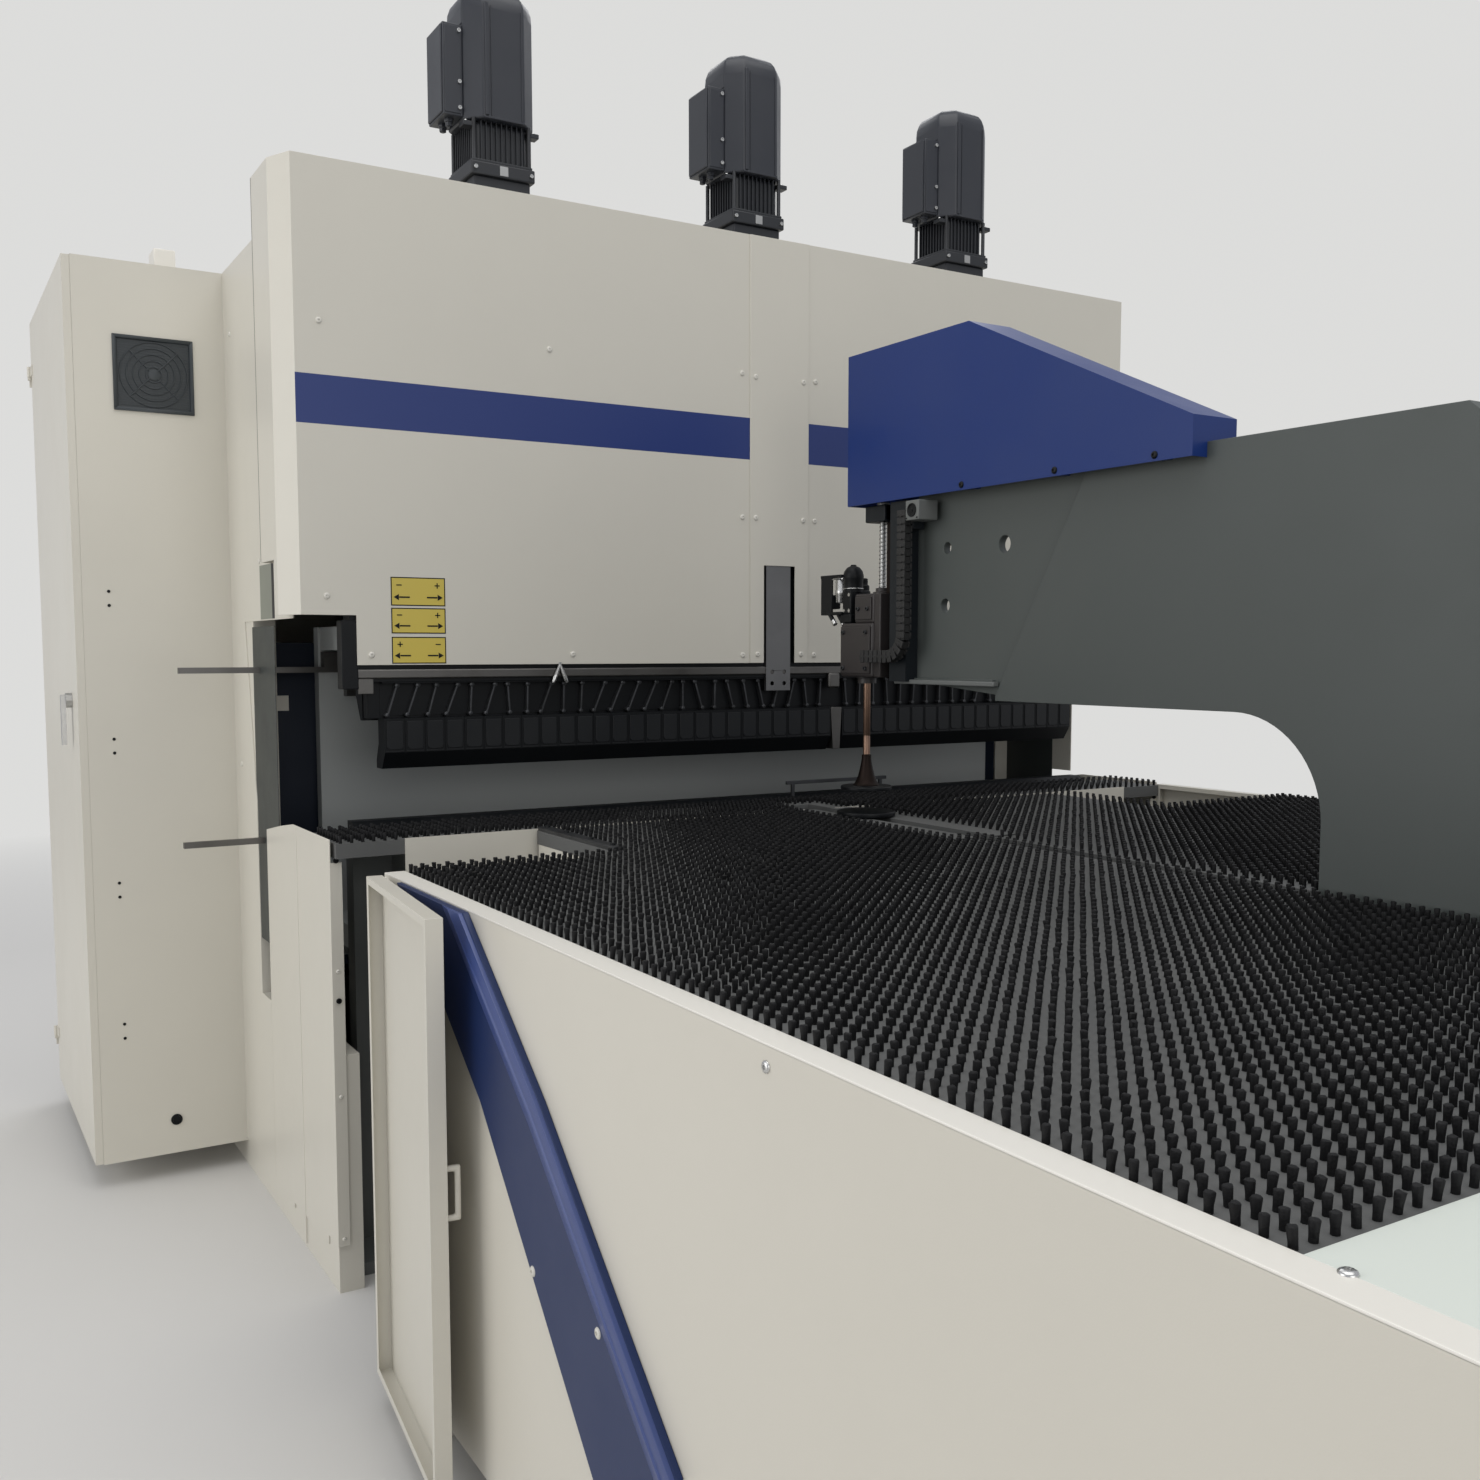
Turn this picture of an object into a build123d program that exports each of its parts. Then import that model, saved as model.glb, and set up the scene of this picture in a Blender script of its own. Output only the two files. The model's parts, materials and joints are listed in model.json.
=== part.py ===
from build123d import *
import os

os.makedirs("parts", exist_ok=True)

# the mid-plane is x 0, the bend line is y 0 and the floor is z 0, all in mm
corner = (Align.MIN, Align.MIN, Align.MIN)
upright = (Align.CENTER, Align.CENTER, Align.MIN)

# clearances between parts that move on each other
slide_gap = 0.3
turn_gap = 0.1

# half of the bend length, which sets the width of the machine
blade_half = 1150

# side frames
frame_inner_x = blade_half + 102
frame_thick = 56
frame_outer_x = frame_inner_x + frame_thick
jaw_front_y = -70
lower_jaw_front_y = -262
throat_back_y = 430
frame_rear_y = 1150
throat_low_z = 550
throat_high_z = 1550
frame_top_z = 2470

# slide ways on the side frames
way_depth = 30
way_height = 40
way_low_z = 700
way_high_z = 1300
way_front_y = 434
way_length = 466

# base frame and lower beam
floor_plate_thick = 30
floor_plate_front_y = -200
beam_half = blade_half + 50
beam_front_y = -60
beam_rear_y = -4
beam_top_z = 1010
rear_wall_thick = 40
rear_wall_top_z = 560
floor_rib_top_z = 500
floor_rib_thick = 20
floor_rib_x = [150 - blade_half, -340, 320, blade_half - 170]
strip_rib_x = [44 - blade_half, -306, 294, blade_half - 56]
strip_rib_thick = 12
strip_rib_low_z = 600

# crown beam
crown_front_y = -40
crown_rear_y = 280
crown_web = 30
crown_low_z = 2100
crown_plate = 30

# drives
drive_x = [395 - blade_half, 0, blade_half - 395]
drive_y = 120
motor_foot = 150
motor_foot_height = 170
motor_flange = 170
motor_flange_height = 33
motor_body = 150
motor_body_chamfer = 15
motor_body_top_z = 2775
cowl_side = 188
cowl_chamfer = 41
cowl_shoulder_z = 3055
cowl_top_z = 3105
cowl_slope = 42
box_width = 50
box_depth = 110
box_low_z = 2780
box_top_z = 3000
rod_radius = 30
rod_top_z = 2400

# sheet metal covers
sheet = 3
cover_front_y = -73
cover_corner_x = frame_outer_x + 2
cover_side_x = frame_outer_x + 36
cover_side_rear_y = 162
cover_low_z = 1425
cover_top_z = 2576
cover_lip = 9
cover_notch_x = frame_inner_x - 70
cover_notch_z = 1542
side_notch_front_y = 31
side_notch_z = 1671
strip_half = 96
cover_edge_x = 90
slot_half = 51
slot_top_z = 1693
side_cover_low_z = 80
side_cover_top_z = 2475
side_cover_rear_y = 678
side_cover_outer_x = frame_outer_x + sheet

# lower side panels
panel_front_y = -268
panel_rear_y = 331
panel_flange = 25
panel_top_z = 1042
panel_rear_top_z = 1000
panel_front_low_z = 110
panel_mid_low_z = 75
panel_rear_low_z = 8
panel_step_y = -185
panel_foot_y = 135

# ram and upper tools
ram_half = blade_half + 45
ram_front_y = -60
ram_rear_y = -4
ram_low_z = 1384
ram_step_z = 1760
ram_top_z = 1960
ram_box_rear_y = 240
gib_low_z = 1780
gib_top_z = 1940
gib_rear_y = 200
tool_top_z = 1297
tool_low_z = 1175
tool_front_y = -70
tool_rear_y = -2
tool_relief = 18
tool_nose = 25
tool_nose_height = 40
segment_pitch = 50
segment_line = 1
tool_half = blade_half - 30
wedge_low_x = 180
wedge_high_x = 220
rail_half = blade_half
rail_front_y = -35
bar_half = blade_half + 40
bar_front_y = -68
bar_height = 41
lever_width = 4
lever_lean = 14
guide_bar_half = 40
guide_bar_low_z = 1348
guide_bar_top_z = 1800
guide_bar_front_y = -70

# bending frame
wall_half = blade_half + 7
wall_front_y = 375
wall_thick = 40
wall_low_z = 640
wall_top_z = 1520
arm_thick = 60
low_arm_z = 700
blade_front_y = 8
upper_blade_rear_y = 60
upper_blade_low_z = 1290
lower_blade_rear_y = 165
lower_blade_top_z = 1045
tongue_low_x = wall_half - 72
tongue_width = 40
tongue_depth = 40
tongue_low_z = 680
tongue_top_z = 1480
slide_front_y = 436
slide_rear_y = 556
slide_low_x = tongue_low_x - 25
slide_low_z = 600
slide_top_z = 1480
side_rail_size = 15
side_rail_end_x = frame_outer_x + 199
side_rail_inner_x = wall_half - 65
side_rail_high_z = 1409
side_rail_low_z = 967

# brush table
board_low_z = 1000
board_top_z = 1036
tuft_height = 15
tuft_width = 10
tuft_pitch = 25
first_tuft_x = 37.5
table_slot_half = 25
bare_half = 90
bare_front_y = -945
side_rail_width = 40
table_outer_x = frame_outer_x + 25
board_outer_x = table_outer_x - side_rail_width
tuft_rows = 1 + int((board_outer_x - first_tuft_x - tuft_pitch) / tuft_pitch)
table_front_y = -3200
board_front_y = -2745
table_rear_y = -745
centre_half = 825
centre_rear_y = -290
table_side_low_z = 83
strip_board_front_y = -283
strip_board_half = frame_outer_x - 8
strip_first_row_y = -276
strip_row_pitch = 23
strip_rows = 9
strip_bare_half = 80
strip_slot_half = 45
strip_slot_rear_y = -160
front_board_half = beam_half - 56
front_board_low_z = 560
front_board_bridge = 30

# table frame
tube = 60
leg_tube = 50
beam_rows_y = [table_front_y + 120, -1980, table_rear_y - 185]
weld_gap = 0.2
leg_inner_x = 300
foot_side = 100
foot_thick = 10
tie_low_z = 80
guide_centre_x = 150
guide_low_z = 280
guide_front_y = table_front_y + 150
guide_rear_y = -1400
arm_rail_width = 30
arm_rail_height = 40

# access doors
door_thick = 30
door_closed_rear_y = panel_front_y - 5
door_closed_front_y = table_rear_y + 2
door_low_z = 64
pin_x = -table_outer_x - 5
pin_y = table_rear_y - 11
pin_radius = 2.5
knuckle_radius = 4.7
knuckle_height = 60
knuckle_z = [160, 820]
hinge_lug_height = 12
door_open_angle = 174.5
door_sheet = 2
door_lip = 14
door_handle_y = door_closed_rear_y - 17
door_handle_low_z = 531
door_handle_high_z = 624
door_handle_reach = 25
door_handle_bar = 10

# manipulator
plate_thick = 40
head_thick = 20
head_front_y = -700
jaw_front_end_y = -380
jaw_low_z = 600
jaw_high_z = 960
throat_arc = 190
throat_y = -1828
throat_top_z = 1347
arm_top_z = 1846
arm_slope_y = -2065
arm_rear_y = -2330
arm_rear_z = 1622
hood_half = 60
hood_sheet = 2
hood_end_y = -480
hood_flat_y = -932
hood_front_y = -1562
hood_top_z = 2184
hood_front_z = 1893
hood_low_z = 1817
hood_screw_y = [-910, -1188, -1468]
hood_spacer = 24
hood_spacer_low_z = 1822
hood_spacer_height = 18
arm_thin_y = -1268
carriage_half = 200
carriage_front_y = -2450
carriage_rear_y = -1700
carriage_low_z = 420
carriage_thick = 30
runner_length = 120
column_half = 45
column_front_y = -600
column_low_z = 1385
column_top_z = 1815
guide_half = 15
guide_depth = 25
screw_y = -548
screw_radius = 10
screw_low_z = 1440
bearing_low_z = 1775
head_half = 55
head_low_z = 1393
head_step_z = 1528
head_high_z = 1600
head_back_y = -574
head_front_face_y = -417
head_step_y = -476
press_y = -486
press_rod_radius = 9
bell_low_radius = 31
bell_high_radius = 12
bell_top_z = 1190
foot_radius = 66
foot_low_z = 1106
foot_top_z = 1115
disc_radius = 75
disc_low_z = 1038.5
disc_top_z = 1050
spindle_radius = 20
spindle_low_z = 880

# control cabinet
cabinet_side_x = -frame_outer_x - 377
cabinet_front_y = 678
cabinet_rear_y = 1600
cabinet_low_z = 71
cabinet_top_z = 2475
cabinet_wall = 2
cabinet_door_thick = 20
vent_low_x = cabinet_side_x + 93
vent_high_x = vent_low_x + 200
vent_low_z = 2089
vent_high_z = 2285
fan_x = vent_low_x + 100
fan_z = vent_low_z + 98
grille_thick = 6
grille_pitch = 20
grille_slots = 8
cabinet_pin_x = cabinet_side_x - 26
cabinet_pin_radius = 3
cabinet_knuckle_radius = 6
cabinet_knuckle_height = 31
cabinet_lug_height = 10
cabinet_lug_half = 4.5
cabinet_hinge_z = [183, 2280]
handle_y = 817
handle_z = 1325

# base frame with the fixed lower beam
with BuildPart() as base_frame:
    with Locations((-frame_inner_x, floor_plate_front_y, 0)):
        Box(2 * frame_inner_x, frame_rear_y - floor_plate_front_y, floor_plate_thick, align=corner)
    with Locations((-beam_half, beam_front_y, floor_plate_thick)):
        Box(2 * beam_half, beam_rear_y - beam_front_y, beam_top_z - floor_plate_thick, align=corner)
    with Locations((-frame_inner_x, frame_rear_y - rear_wall_thick, floor_plate_thick)):
        Box(2 * frame_inner_x, rear_wall_thick, rear_wall_top_z - floor_plate_thick, align=corner)
    floor_rib_length = frame_rear_y - rear_wall_thick - beam_rear_y
    with Locations([(x, beam_rear_y, floor_plate_thick) for x in floor_rib_x]):
        Box(floor_rib_thick, floor_rib_length, floor_rib_top_z - floor_plate_thick, align=corner)
    strip_depth = beam_front_y - strip_board_front_y
    with Locations([(x, strip_board_front_y, strip_rib_low_z) for x in strip_rib_x]):
        Box(strip_rib_thick, strip_depth, board_low_z - strip_rib_low_z, align=corner)

# C-shaped side frames with the slide ways
with BuildPart() as side_frame_left:
    with BuildSketch(Plane.YZ.offset(-frame_outer_x)):
        Polygon(
            (lower_jaw_front_y, 0),
            (frame_rear_y, 0),
            (frame_rear_y, frame_top_z),
            (jaw_front_y, frame_top_z),
            (jaw_front_y, throat_high_z),
            (throat_back_y, throat_high_z),
            (throat_back_y, throat_low_z),
            (lower_jaw_front_y, throat_low_z),
            align=None,
        )
    extrude(amount=frame_thick)
    with Locations([(-frame_inner_x, way_front_y, way_low_z), (-frame_inner_x, way_front_y, way_high_z)]):
        Box(way_depth, way_length, way_height, align=corner)

with BuildPart() as side_frame_right:
    mirror(side_frame_left.part, about=Plane.YZ)

# hollow crown beam with the rod bores
with BuildPart() as crown_beam:
    with Locations((-frame_inner_x, crown_front_y, crown_low_z)):
        Box(2 * frame_inner_x, crown_rear_y - crown_front_y, frame_top_z - crown_low_z, align=corner)
    with Locations((-frame_inner_x, crown_front_y + crown_web, crown_low_z + crown_plate)):
        Box(
            2 * frame_inner_x,
            crown_rear_y - crown_front_y - 2 * crown_web,
            frame_top_z - crown_low_z - 2 * crown_plate,
            align=corner,
            mode=Mode.SUBTRACT,
        )
    with Locations([(x, drive_y, crown_low_z) for x in drive_x]):
        Cylinder(rod_radius + turn_gap, crown_plate, align=upright, mode=Mode.SUBTRACT)

# rear cover folded over into the roof
roof_front_y = 222
with BuildPart() as rear_cover:
    with Locations((-frame_outer_x, frame_rear_y, side_cover_low_z)):
        Box(2 * frame_outer_x, sheet, frame_top_z + sheet - side_cover_low_z, align=corner)
    with Locations((-frame_outer_x, roof_front_y, frame_top_z)):
        Box(2 * frame_outer_x, frame_rear_y - roof_front_y, sheet, align=corner)

# upper front cover, left and right halves
with BuildPart() as upper_cover_left:
    with BuildSketch(Plane.XY.offset(cover_low_z)):
        with BuildLine():
            Polyline(
                (-cover_edge_x, cover_front_y),
                (-cover_corner_x, cover_front_y),
                (-cover_side_x, 0),
                (-cover_side_x, cover_side_rear_y),
                (-side_cover_outer_x, cover_side_rear_y),
            )
            offset(amount=sheet, side=Side.RIGHT)
        make_face()
    extrude(amount=cover_top_z - cover_low_z)
    with Locations((-cover_corner_x, cover_front_y, cover_top_z - sheet)):
        Box(cover_corner_x - cover_edge_x, cover_lip, sheet, align=corner)
    with Locations((-cover_side_x, cover_front_y, cover_low_z)):
        Box(
            cover_side_x - cover_notch_x,
            cover_side_rear_y - cover_front_y,
            cover_notch_z - cover_low_z,
            align=corner,
            mode=Mode.SUBTRACT,
        )
    with Locations((-cover_side_x, side_notch_front_y, cover_notch_z)):
        Box(
            cover_side_x - side_cover_outer_x,
            cover_side_rear_y - side_notch_front_y,
            side_notch_z - cover_notch_z,
            align=corner,
            mode=Mode.SUBTRACT,
        )

with BuildPart() as upper_cover_right:
    mirror(upper_cover_left.part, about=Plane.YZ)

# slotted centre strip, proud of the two halves
with BuildPart() as upper_cover_centre:
    with Locations((-strip_half, cover_front_y - sheet, cover_low_z)):
        Box(2 * strip_half, sheet, cover_top_z - cover_low_z, align=corner)
    with Locations((-slot_half, cover_front_y - sheet, cover_low_z)):
        Box(2 * slot_half, sheet, slot_top_z - cover_low_z, align=corner, mode=Mode.SUBTRACT)

# side covers, the left one open at the throat
with BuildPart() as side_cover_left:
    with BuildSketch(Plane.YZ.offset(-side_cover_outer_x)):
        Polygon(
            (0, 1535),
            (517, 1535),
            (430, 1064),
            (430, throat_low_z),
            (panel_rear_y, throat_low_z),
            (panel_rear_y, side_cover_low_z),
            (side_cover_rear_y, side_cover_low_z),
            (side_cover_rear_y, side_cover_top_z),
            (0, side_cover_top_z),
            align=None,
        )
    extrude(amount=sheet)

with BuildPart() as side_cover_right:
    with BuildSketch(Plane.YZ.offset(frame_outer_x)):
        Polygon(
            (0, 1535),
            (113, 1535),
            (113, 1050),
            (panel_rear_y, 1050),
            (panel_rear_y, side_cover_low_z),
            (frame_rear_y, side_cover_low_z),
            (frame_rear_y, side_cover_top_z),
            (0, side_cover_top_z),
            align=None,
        )
    extrude(amount=sheet)

# lower side panels with turned edges
with BuildPart() as lower_panel_left:
    with BuildSketch(Plane.YZ.offset(-side_cover_outer_x)):
        Polygon(
            (panel_front_y, panel_front_low_z),
            (panel_step_y, panel_front_low_z),
            (panel_step_y, panel_mid_low_z),
            (panel_foot_y, panel_mid_low_z),
            (panel_foot_y, panel_rear_low_z),
            (panel_rear_y, panel_rear_low_z),
            (panel_rear_y, panel_rear_top_z),
            (187, 1024),
            (57, panel_top_z),
            (panel_front_y, panel_top_z),
            align=None,
        )
    extrude(amount=sheet)
    with Locations((-frame_outer_x, panel_front_y, panel_front_low_z)):
        Box(panel_flange, sheet, board_low_z - panel_front_low_z - 10, align=corner)
    with Locations((-frame_outer_x, panel_rear_y - sheet, throat_low_z + 10)):
        Box(panel_flange, sheet, panel_rear_top_z - throat_low_z - 20, align=corner)

with BuildPart() as lower_panel_right:
    mirror(lower_panel_left.part, about=Plane.YZ)

# control cabinet shell, open to the side where the door is
with BuildPart() as cabinet_shell:
    with Locations((cabinet_side_x, cabinet_front_y, cabinet_low_z)):
        Box(
            -frame_outer_x - cabinet_side_x,
            cabinet_rear_y - cabinet_front_y,
            cabinet_top_z - cabinet_low_z,
            align=corner,
        )
    with Locations((cabinet_side_x, cabinet_front_y + cabinet_wall, cabinet_low_z + cabinet_wall)):
        Box(
            -frame_outer_x - cabinet_side_x - cabinet_wall,
            cabinet_rear_y - cabinet_front_y - 2 * cabinet_wall,
            cabinet_top_z - cabinet_low_z - 2 * cabinet_wall,
            align=corner,
            mode=Mode.SUBTRACT,
        )
    with Locations((vent_low_x + 10, cabinet_front_y, vent_low_z + 10)):
        Box(
            vent_high_x - vent_low_x - 20,
            cabinet_wall,
            vent_high_z - vent_low_z - 20,
            align=corner,
            mode=Mode.SUBTRACT,
        )
    # bracket behind the vent that carries the fan on a pin
    with Locations((vent_low_x, cabinet_front_y + 46, fan_z - 10)):
        Box(vent_high_x - vent_low_x, 6, 20, align=corner)
    with Locations((vent_low_x - 10, cabinet_front_y + cabinet_wall, fan_z - 10)):
        Box(10, 50, 20, align=corner)
    with Locations((vent_high_x, cabinet_front_y + cabinet_wall, fan_z - 10)):
        Box(10, 50, 20, align=corner)
    with BuildSketch(Plane.XZ.offset(-cabinet_front_y - 46)):
        with Locations((fan_x, fan_z)):
            Circle(4)
    extrude(amount=34)
    with Locations([(cabinet_pin_x, cabinet_rear_y, z) for z in cabinet_hinge_z]):
        Box(cabinet_side_x + 25 - cabinet_pin_x, 3, cabinet_knuckle_height, align=corner)
    for z in cabinet_hinge_z:
        lug_z = z + cabinet_knuckle_height - cabinet_lug_height
        with Locations((cabinet_pin_x - cabinet_lug_half, cabinet_rear_y - cabinet_lug_half, lug_z)):
            Box(2 * cabinet_lug_half, 2 * cabinet_lug_half, cabinet_lug_height, align=corner)
        with Locations((cabinet_pin_x, cabinet_rear_y, lug_z)):
            Cylinder(cabinet_pin_radius, cabinet_lug_height + cabinet_knuckle_height, align=upright)

with BuildPart() as vent_grille:
    with Locations((vent_low_x, cabinet_front_y - grille_thick, vent_low_z)):
        Box(vent_high_x - vent_low_x, grille_thick, vent_high_z - vent_low_z, align=corner)
    for row in range(grille_slots):
        slot_z = vent_low_z + grille_pitch * (row + 1)
        with Locations((vent_low_x + grille_pitch, cabinet_front_y - grille_thick, slot_z)):
            slot_width = vent_high_x - vent_low_x - 2 * grille_pitch
            Box(slot_width, grille_thick, 12, align=corner, mode=Mode.SUBTRACT)

with BuildPart() as cabinet_fan:
    with BuildSketch(Plane.XZ.offset(-cabinet_front_y - 40)):
        with Locations((fan_x, fan_z)):
            Circle(26)
            with PolarLocations(50, 5):
                Rectangle(66, 26)
            Circle(4 + turn_gap, mode=Mode.SUBTRACT)
    extrude(amount=24)

with BuildPart() as cabinet_door:
    with Locations((cabinet_side_x - cabinet_door_thick, cabinet_front_y + 2, cabinet_low_z + 2)):
        Box(
            cabinet_door_thick - slide_gap,
            cabinet_rear_y - cabinet_front_y - 6,
            cabinet_top_z - cabinet_low_z - 4,
            align=corner,
        )
    with Locations((cabinet_side_x - cabinet_door_thick + 2, cabinet_front_y + 6, cabinet_low_z + 6)):
        Box(
            cabinet_door_thick,
            cabinet_rear_y - cabinet_front_y - 14,
            cabinet_top_z - cabinet_low_z - 12,
            align=corner,
            mode=Mode.SUBTRACT,
        )
    with Locations((cabinet_side_x - cabinet_door_thick, handle_y - 30, handle_z - 60)):
        Box(cabinet_door_thick - 4, 60, 120, align=corner)
    with BuildSketch(Plane.YZ.offset(cabinet_side_x - cabinet_door_thick)):
        with Locations((handle_y, handle_z)):
            Circle(8 + turn_gap)
    extrude(amount=cabinet_door_thick, mode=Mode.SUBTRACT)
    door_face_x = cabinet_side_x - cabinet_door_thick
    barrel_height = cabinet_knuckle_height - slide_gap
    for z in cabinet_hinge_z:
        barrel_z = z + cabinet_knuckle_height + slide_gap
        with Locations((door_face_x - 3, cabinet_rear_y - 50, barrel_z)):
            Box(3, 50, barrel_height, align=corner)
        with Locations((cabinet_pin_x, cabinet_rear_y, barrel_z)):
            Cylinder(cabinet_knuckle_radius, barrel_height, align=upright)
            Cylinder(cabinet_pin_radius + turn_gap, barrel_height, align=upright, mode=Mode.SUBTRACT)

with BuildPart() as cabinet_handle:
    with BuildSketch(Plane.YZ.offset(cabinet_side_x - cabinet_door_thick - slide_gap)):
        with Locations((handle_y, handle_z)):
            RegularPolygon(20, 8)
    extrude(amount=-16)
    with BuildSketch(Plane.YZ.offset(cabinet_side_x - cabinet_door_thick - slide_gap)):
        with Locations((handle_y, handle_z)):
            Circle(8)
    extrude(amount=14)
    with Locations((cabinet_side_x - cabinet_door_thick - slide_gap - 28, handle_y - 10, handle_z - 120)):
        Box(12, 20, 135, align=corner)

# drive motors, fan cowls and terminal boxes
flange_z = frame_top_z + motor_foot_height
body_z = flange_z + motor_flange_height
with BuildPart() as drive_motors:
    with BuildSketch(Plane.XY.offset(frame_top_z)):
        with Locations([(x, drive_y) for x in drive_x]):
            Rectangle(motor_foot, motor_foot)
    extrude(amount=motor_foot_height)
    with BuildSketch(Plane.XY.offset(flange_z)):
        with Locations([(x, drive_y) for x in drive_x]):
            Rectangle(motor_flange, motor_flange)
    extrude(amount=motor_flange_height)
    with BuildSketch(Plane.XY.offset(body_z)) as body_sketch:
        with Locations([(x, drive_y) for x in drive_x]):
            Rectangle(motor_body, motor_body)
        chamfer(body_sketch.vertices(), length=motor_body_chamfer)
    extrude(amount=motor_body_top_z - body_z)

with BuildPart() as motor_cowls:
    with BuildSketch(Plane.XY.offset(motor_body_top_z)) as cowl_sketch:
        with Locations([(x, drive_y) for x in drive_x]):
            Rectangle(cowl_side, cowl_side)
        chamfer(cowl_sketch.vertices(), length=cowl_chamfer)
    extrude(amount=cowl_shoulder_z - motor_body_top_z)
    with BuildSketch(Plane.XY.offset(cowl_shoulder_z)) as dome_sketch:
        with Locations([(x, drive_y) for x in drive_x]):
            Rectangle(cowl_side, cowl_side)
        chamfer(dome_sketch.vertices(), length=cowl_chamfer)
    extrude(amount=cowl_top_z - cowl_shoulder_z, taper=cowl_slope)
    with Locations([(x - cowl_side / 2 - box_width, drive_y - box_depth / 2, box_low_z) for x in drive_x]):
        Box(box_width, box_depth, box_top_z - box_low_z, align=corner)

# blank holder: ram beam with its rods
with BuildPart() as ram_beam:
    with Locations((-ram_half, ram_front_y, ram_low_z)):
        Box(2 * ram_half, ram_rear_y - ram_front_y, ram_step_z - ram_low_z, align=corner)
    with Locations((-ram_half, ram_front_y, ram_step_z)):
        Box(2 * ram_half, ram_box_rear_y - ram_front_y, ram_top_z - ram_step_z, align=corner)
    with Locations((-frame_inner_x + slide_gap, 0, gib_low_z)):
        Box(2 * (frame_inner_x - slide_gap), gib_rear_y, gib_top_z - gib_low_z, align=corner)
    with Locations([(x, drive_y, ram_top_z) for x in drive_x]):
        Cylinder(rod_radius, rod_top_z - ram_top_z, align=upright)

with BuildPart() as tool_rail:
    with Locations((-rail_half, rail_front_y, tool_top_z)):
        Box(2 * rail_half, ram_rear_y - rail_front_y, ram_low_z - tool_top_z, align=corner)

with BuildPart() as tool_bar:
    with Locations((-bar_half, bar_front_y, ram_low_z)):
        Box(bar_half - guide_bar_half, ram_front_y - bar_front_y, bar_height, align=corner)
    with Locations((guide_bar_half, bar_front_y, ram_low_z)):
        Box(bar_half - guide_bar_half, ram_front_y - bar_front_y, bar_height, align=corner)

# slanted clamping levers, one to each tool segment
left_segments = int((wedge_low_x + tool_half) / segment_pitch)
right_segments = int((tool_half - wedge_high_x) / segment_pitch)
lever_x = [-tool_half + segment_pitch * (n + 0.5) for n in range(left_segments)]
lever_x = lever_x + [wedge_high_x + segment_pitch * (n + 0.5) for n in range(right_segments)]
with BuildPart() as tool_levers:
    with BuildSketch(Plane.XZ.offset(-rail_front_y)):
        for x in lever_x:
            Polygon(
                (x - lever_lean, tool_top_z + 4),
                (x - lever_lean + lever_width, tool_top_z + 4),
                (x + lever_lean + lever_width, ram_low_z - 6),
                (x + lever_lean, ram_low_z - 6),
                align=None,
            )
    extrude(amount=18)
    with Locations((-tool_half, rail_front_y - 2, tool_top_z + 20)):
        Box(2 * tool_half, 2, 40, align=corner)

# tool segments of the blank holder
tool_profile = [
    (tool_rear_y, tool_low_z),
    (tool_rear_y, tool_low_z + 20),
    (tool_rear_y - tool_relief, tool_low_z + 60),
    (tool_rear_y - tool_relief, tool_top_z),
    (tool_front_y, tool_top_z),
    (tool_front_y, tool_low_z + tool_nose_height),
    (tool_front_y + tool_nose, tool_low_z),
]
with BuildPart() as tool_segments_left:
    with BuildSketch(Plane.YZ.offset(-tool_half)):
        Polygon(*tool_profile, align=None)
    extrude(amount=tool_half + wedge_low_x)
    left_lines = [-tool_half + segment_pitch * (n + 1) for n in range(left_segments - 1)]
    with Locations([(x, tool_front_y, tool_low_z) for x in left_lines]):
        Box(
            segment_line,
            2,
            2 * (tool_top_z - tool_low_z),
            align=(Align.CENTER, Align.MIN, Align.MIN),
            mode=Mode.SUBTRACT,
        )

with BuildPart() as tool_segments_right:
    with BuildSketch(Plane.YZ.offset(wedge_high_x)):
        Polygon(*tool_profile, align=None)
    extrude(amount=tool_half - wedge_high_x)
    right_lines = [wedge_high_x + segment_pitch * (n + 1) for n in range(right_segments - 1)]
    with Locations([(x, tool_front_y, tool_low_z) for x in right_lines]):
        Box(
            segment_line,
            2,
            2 * (tool_top_z - tool_low_z),
            align=(Align.CENTER, Align.MIN, Align.MIN),
            mode=Mode.SUBTRACT,
        )

# tapered plate between the two groups
with BuildPart() as centre_tool:
    with BuildSketch(Plane.XZ.offset(-tool_rear_y + tool_relief)):
        Polygon(
            (wedge_low_x + 8, tool_low_z + 2),
            (wedge_high_x - 8, tool_low_z + 2),
            (wedge_high_x - 1, tool_top_z),
            (wedge_low_x + 1, tool_top_z),
            align=None,
        )
    extrude(amount=tool_rear_y - tool_relief - tool_front_y)

# steel guide bar that shows in the slot
with BuildPart() as centre_guide_bar:
    with Locations((-guide_bar_half, guide_bar_front_y, guide_bar_low_z)):
        Box(
            2 * guide_bar_half,
            ram_front_y - guide_bar_front_y,
            guide_bar_top_z - guide_bar_low_z,
            align=corner,
        )
    with BuildSketch(Plane.XZ.offset(-ram_front_y)):
        with Locations([(-20, 1368), (20, 1368), (-20, 1400), (20, 1400)]):
            Circle(6)
    extrude(amount=ram_front_y - guide_bar_front_y, mode=Mode.SUBTRACT)

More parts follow.
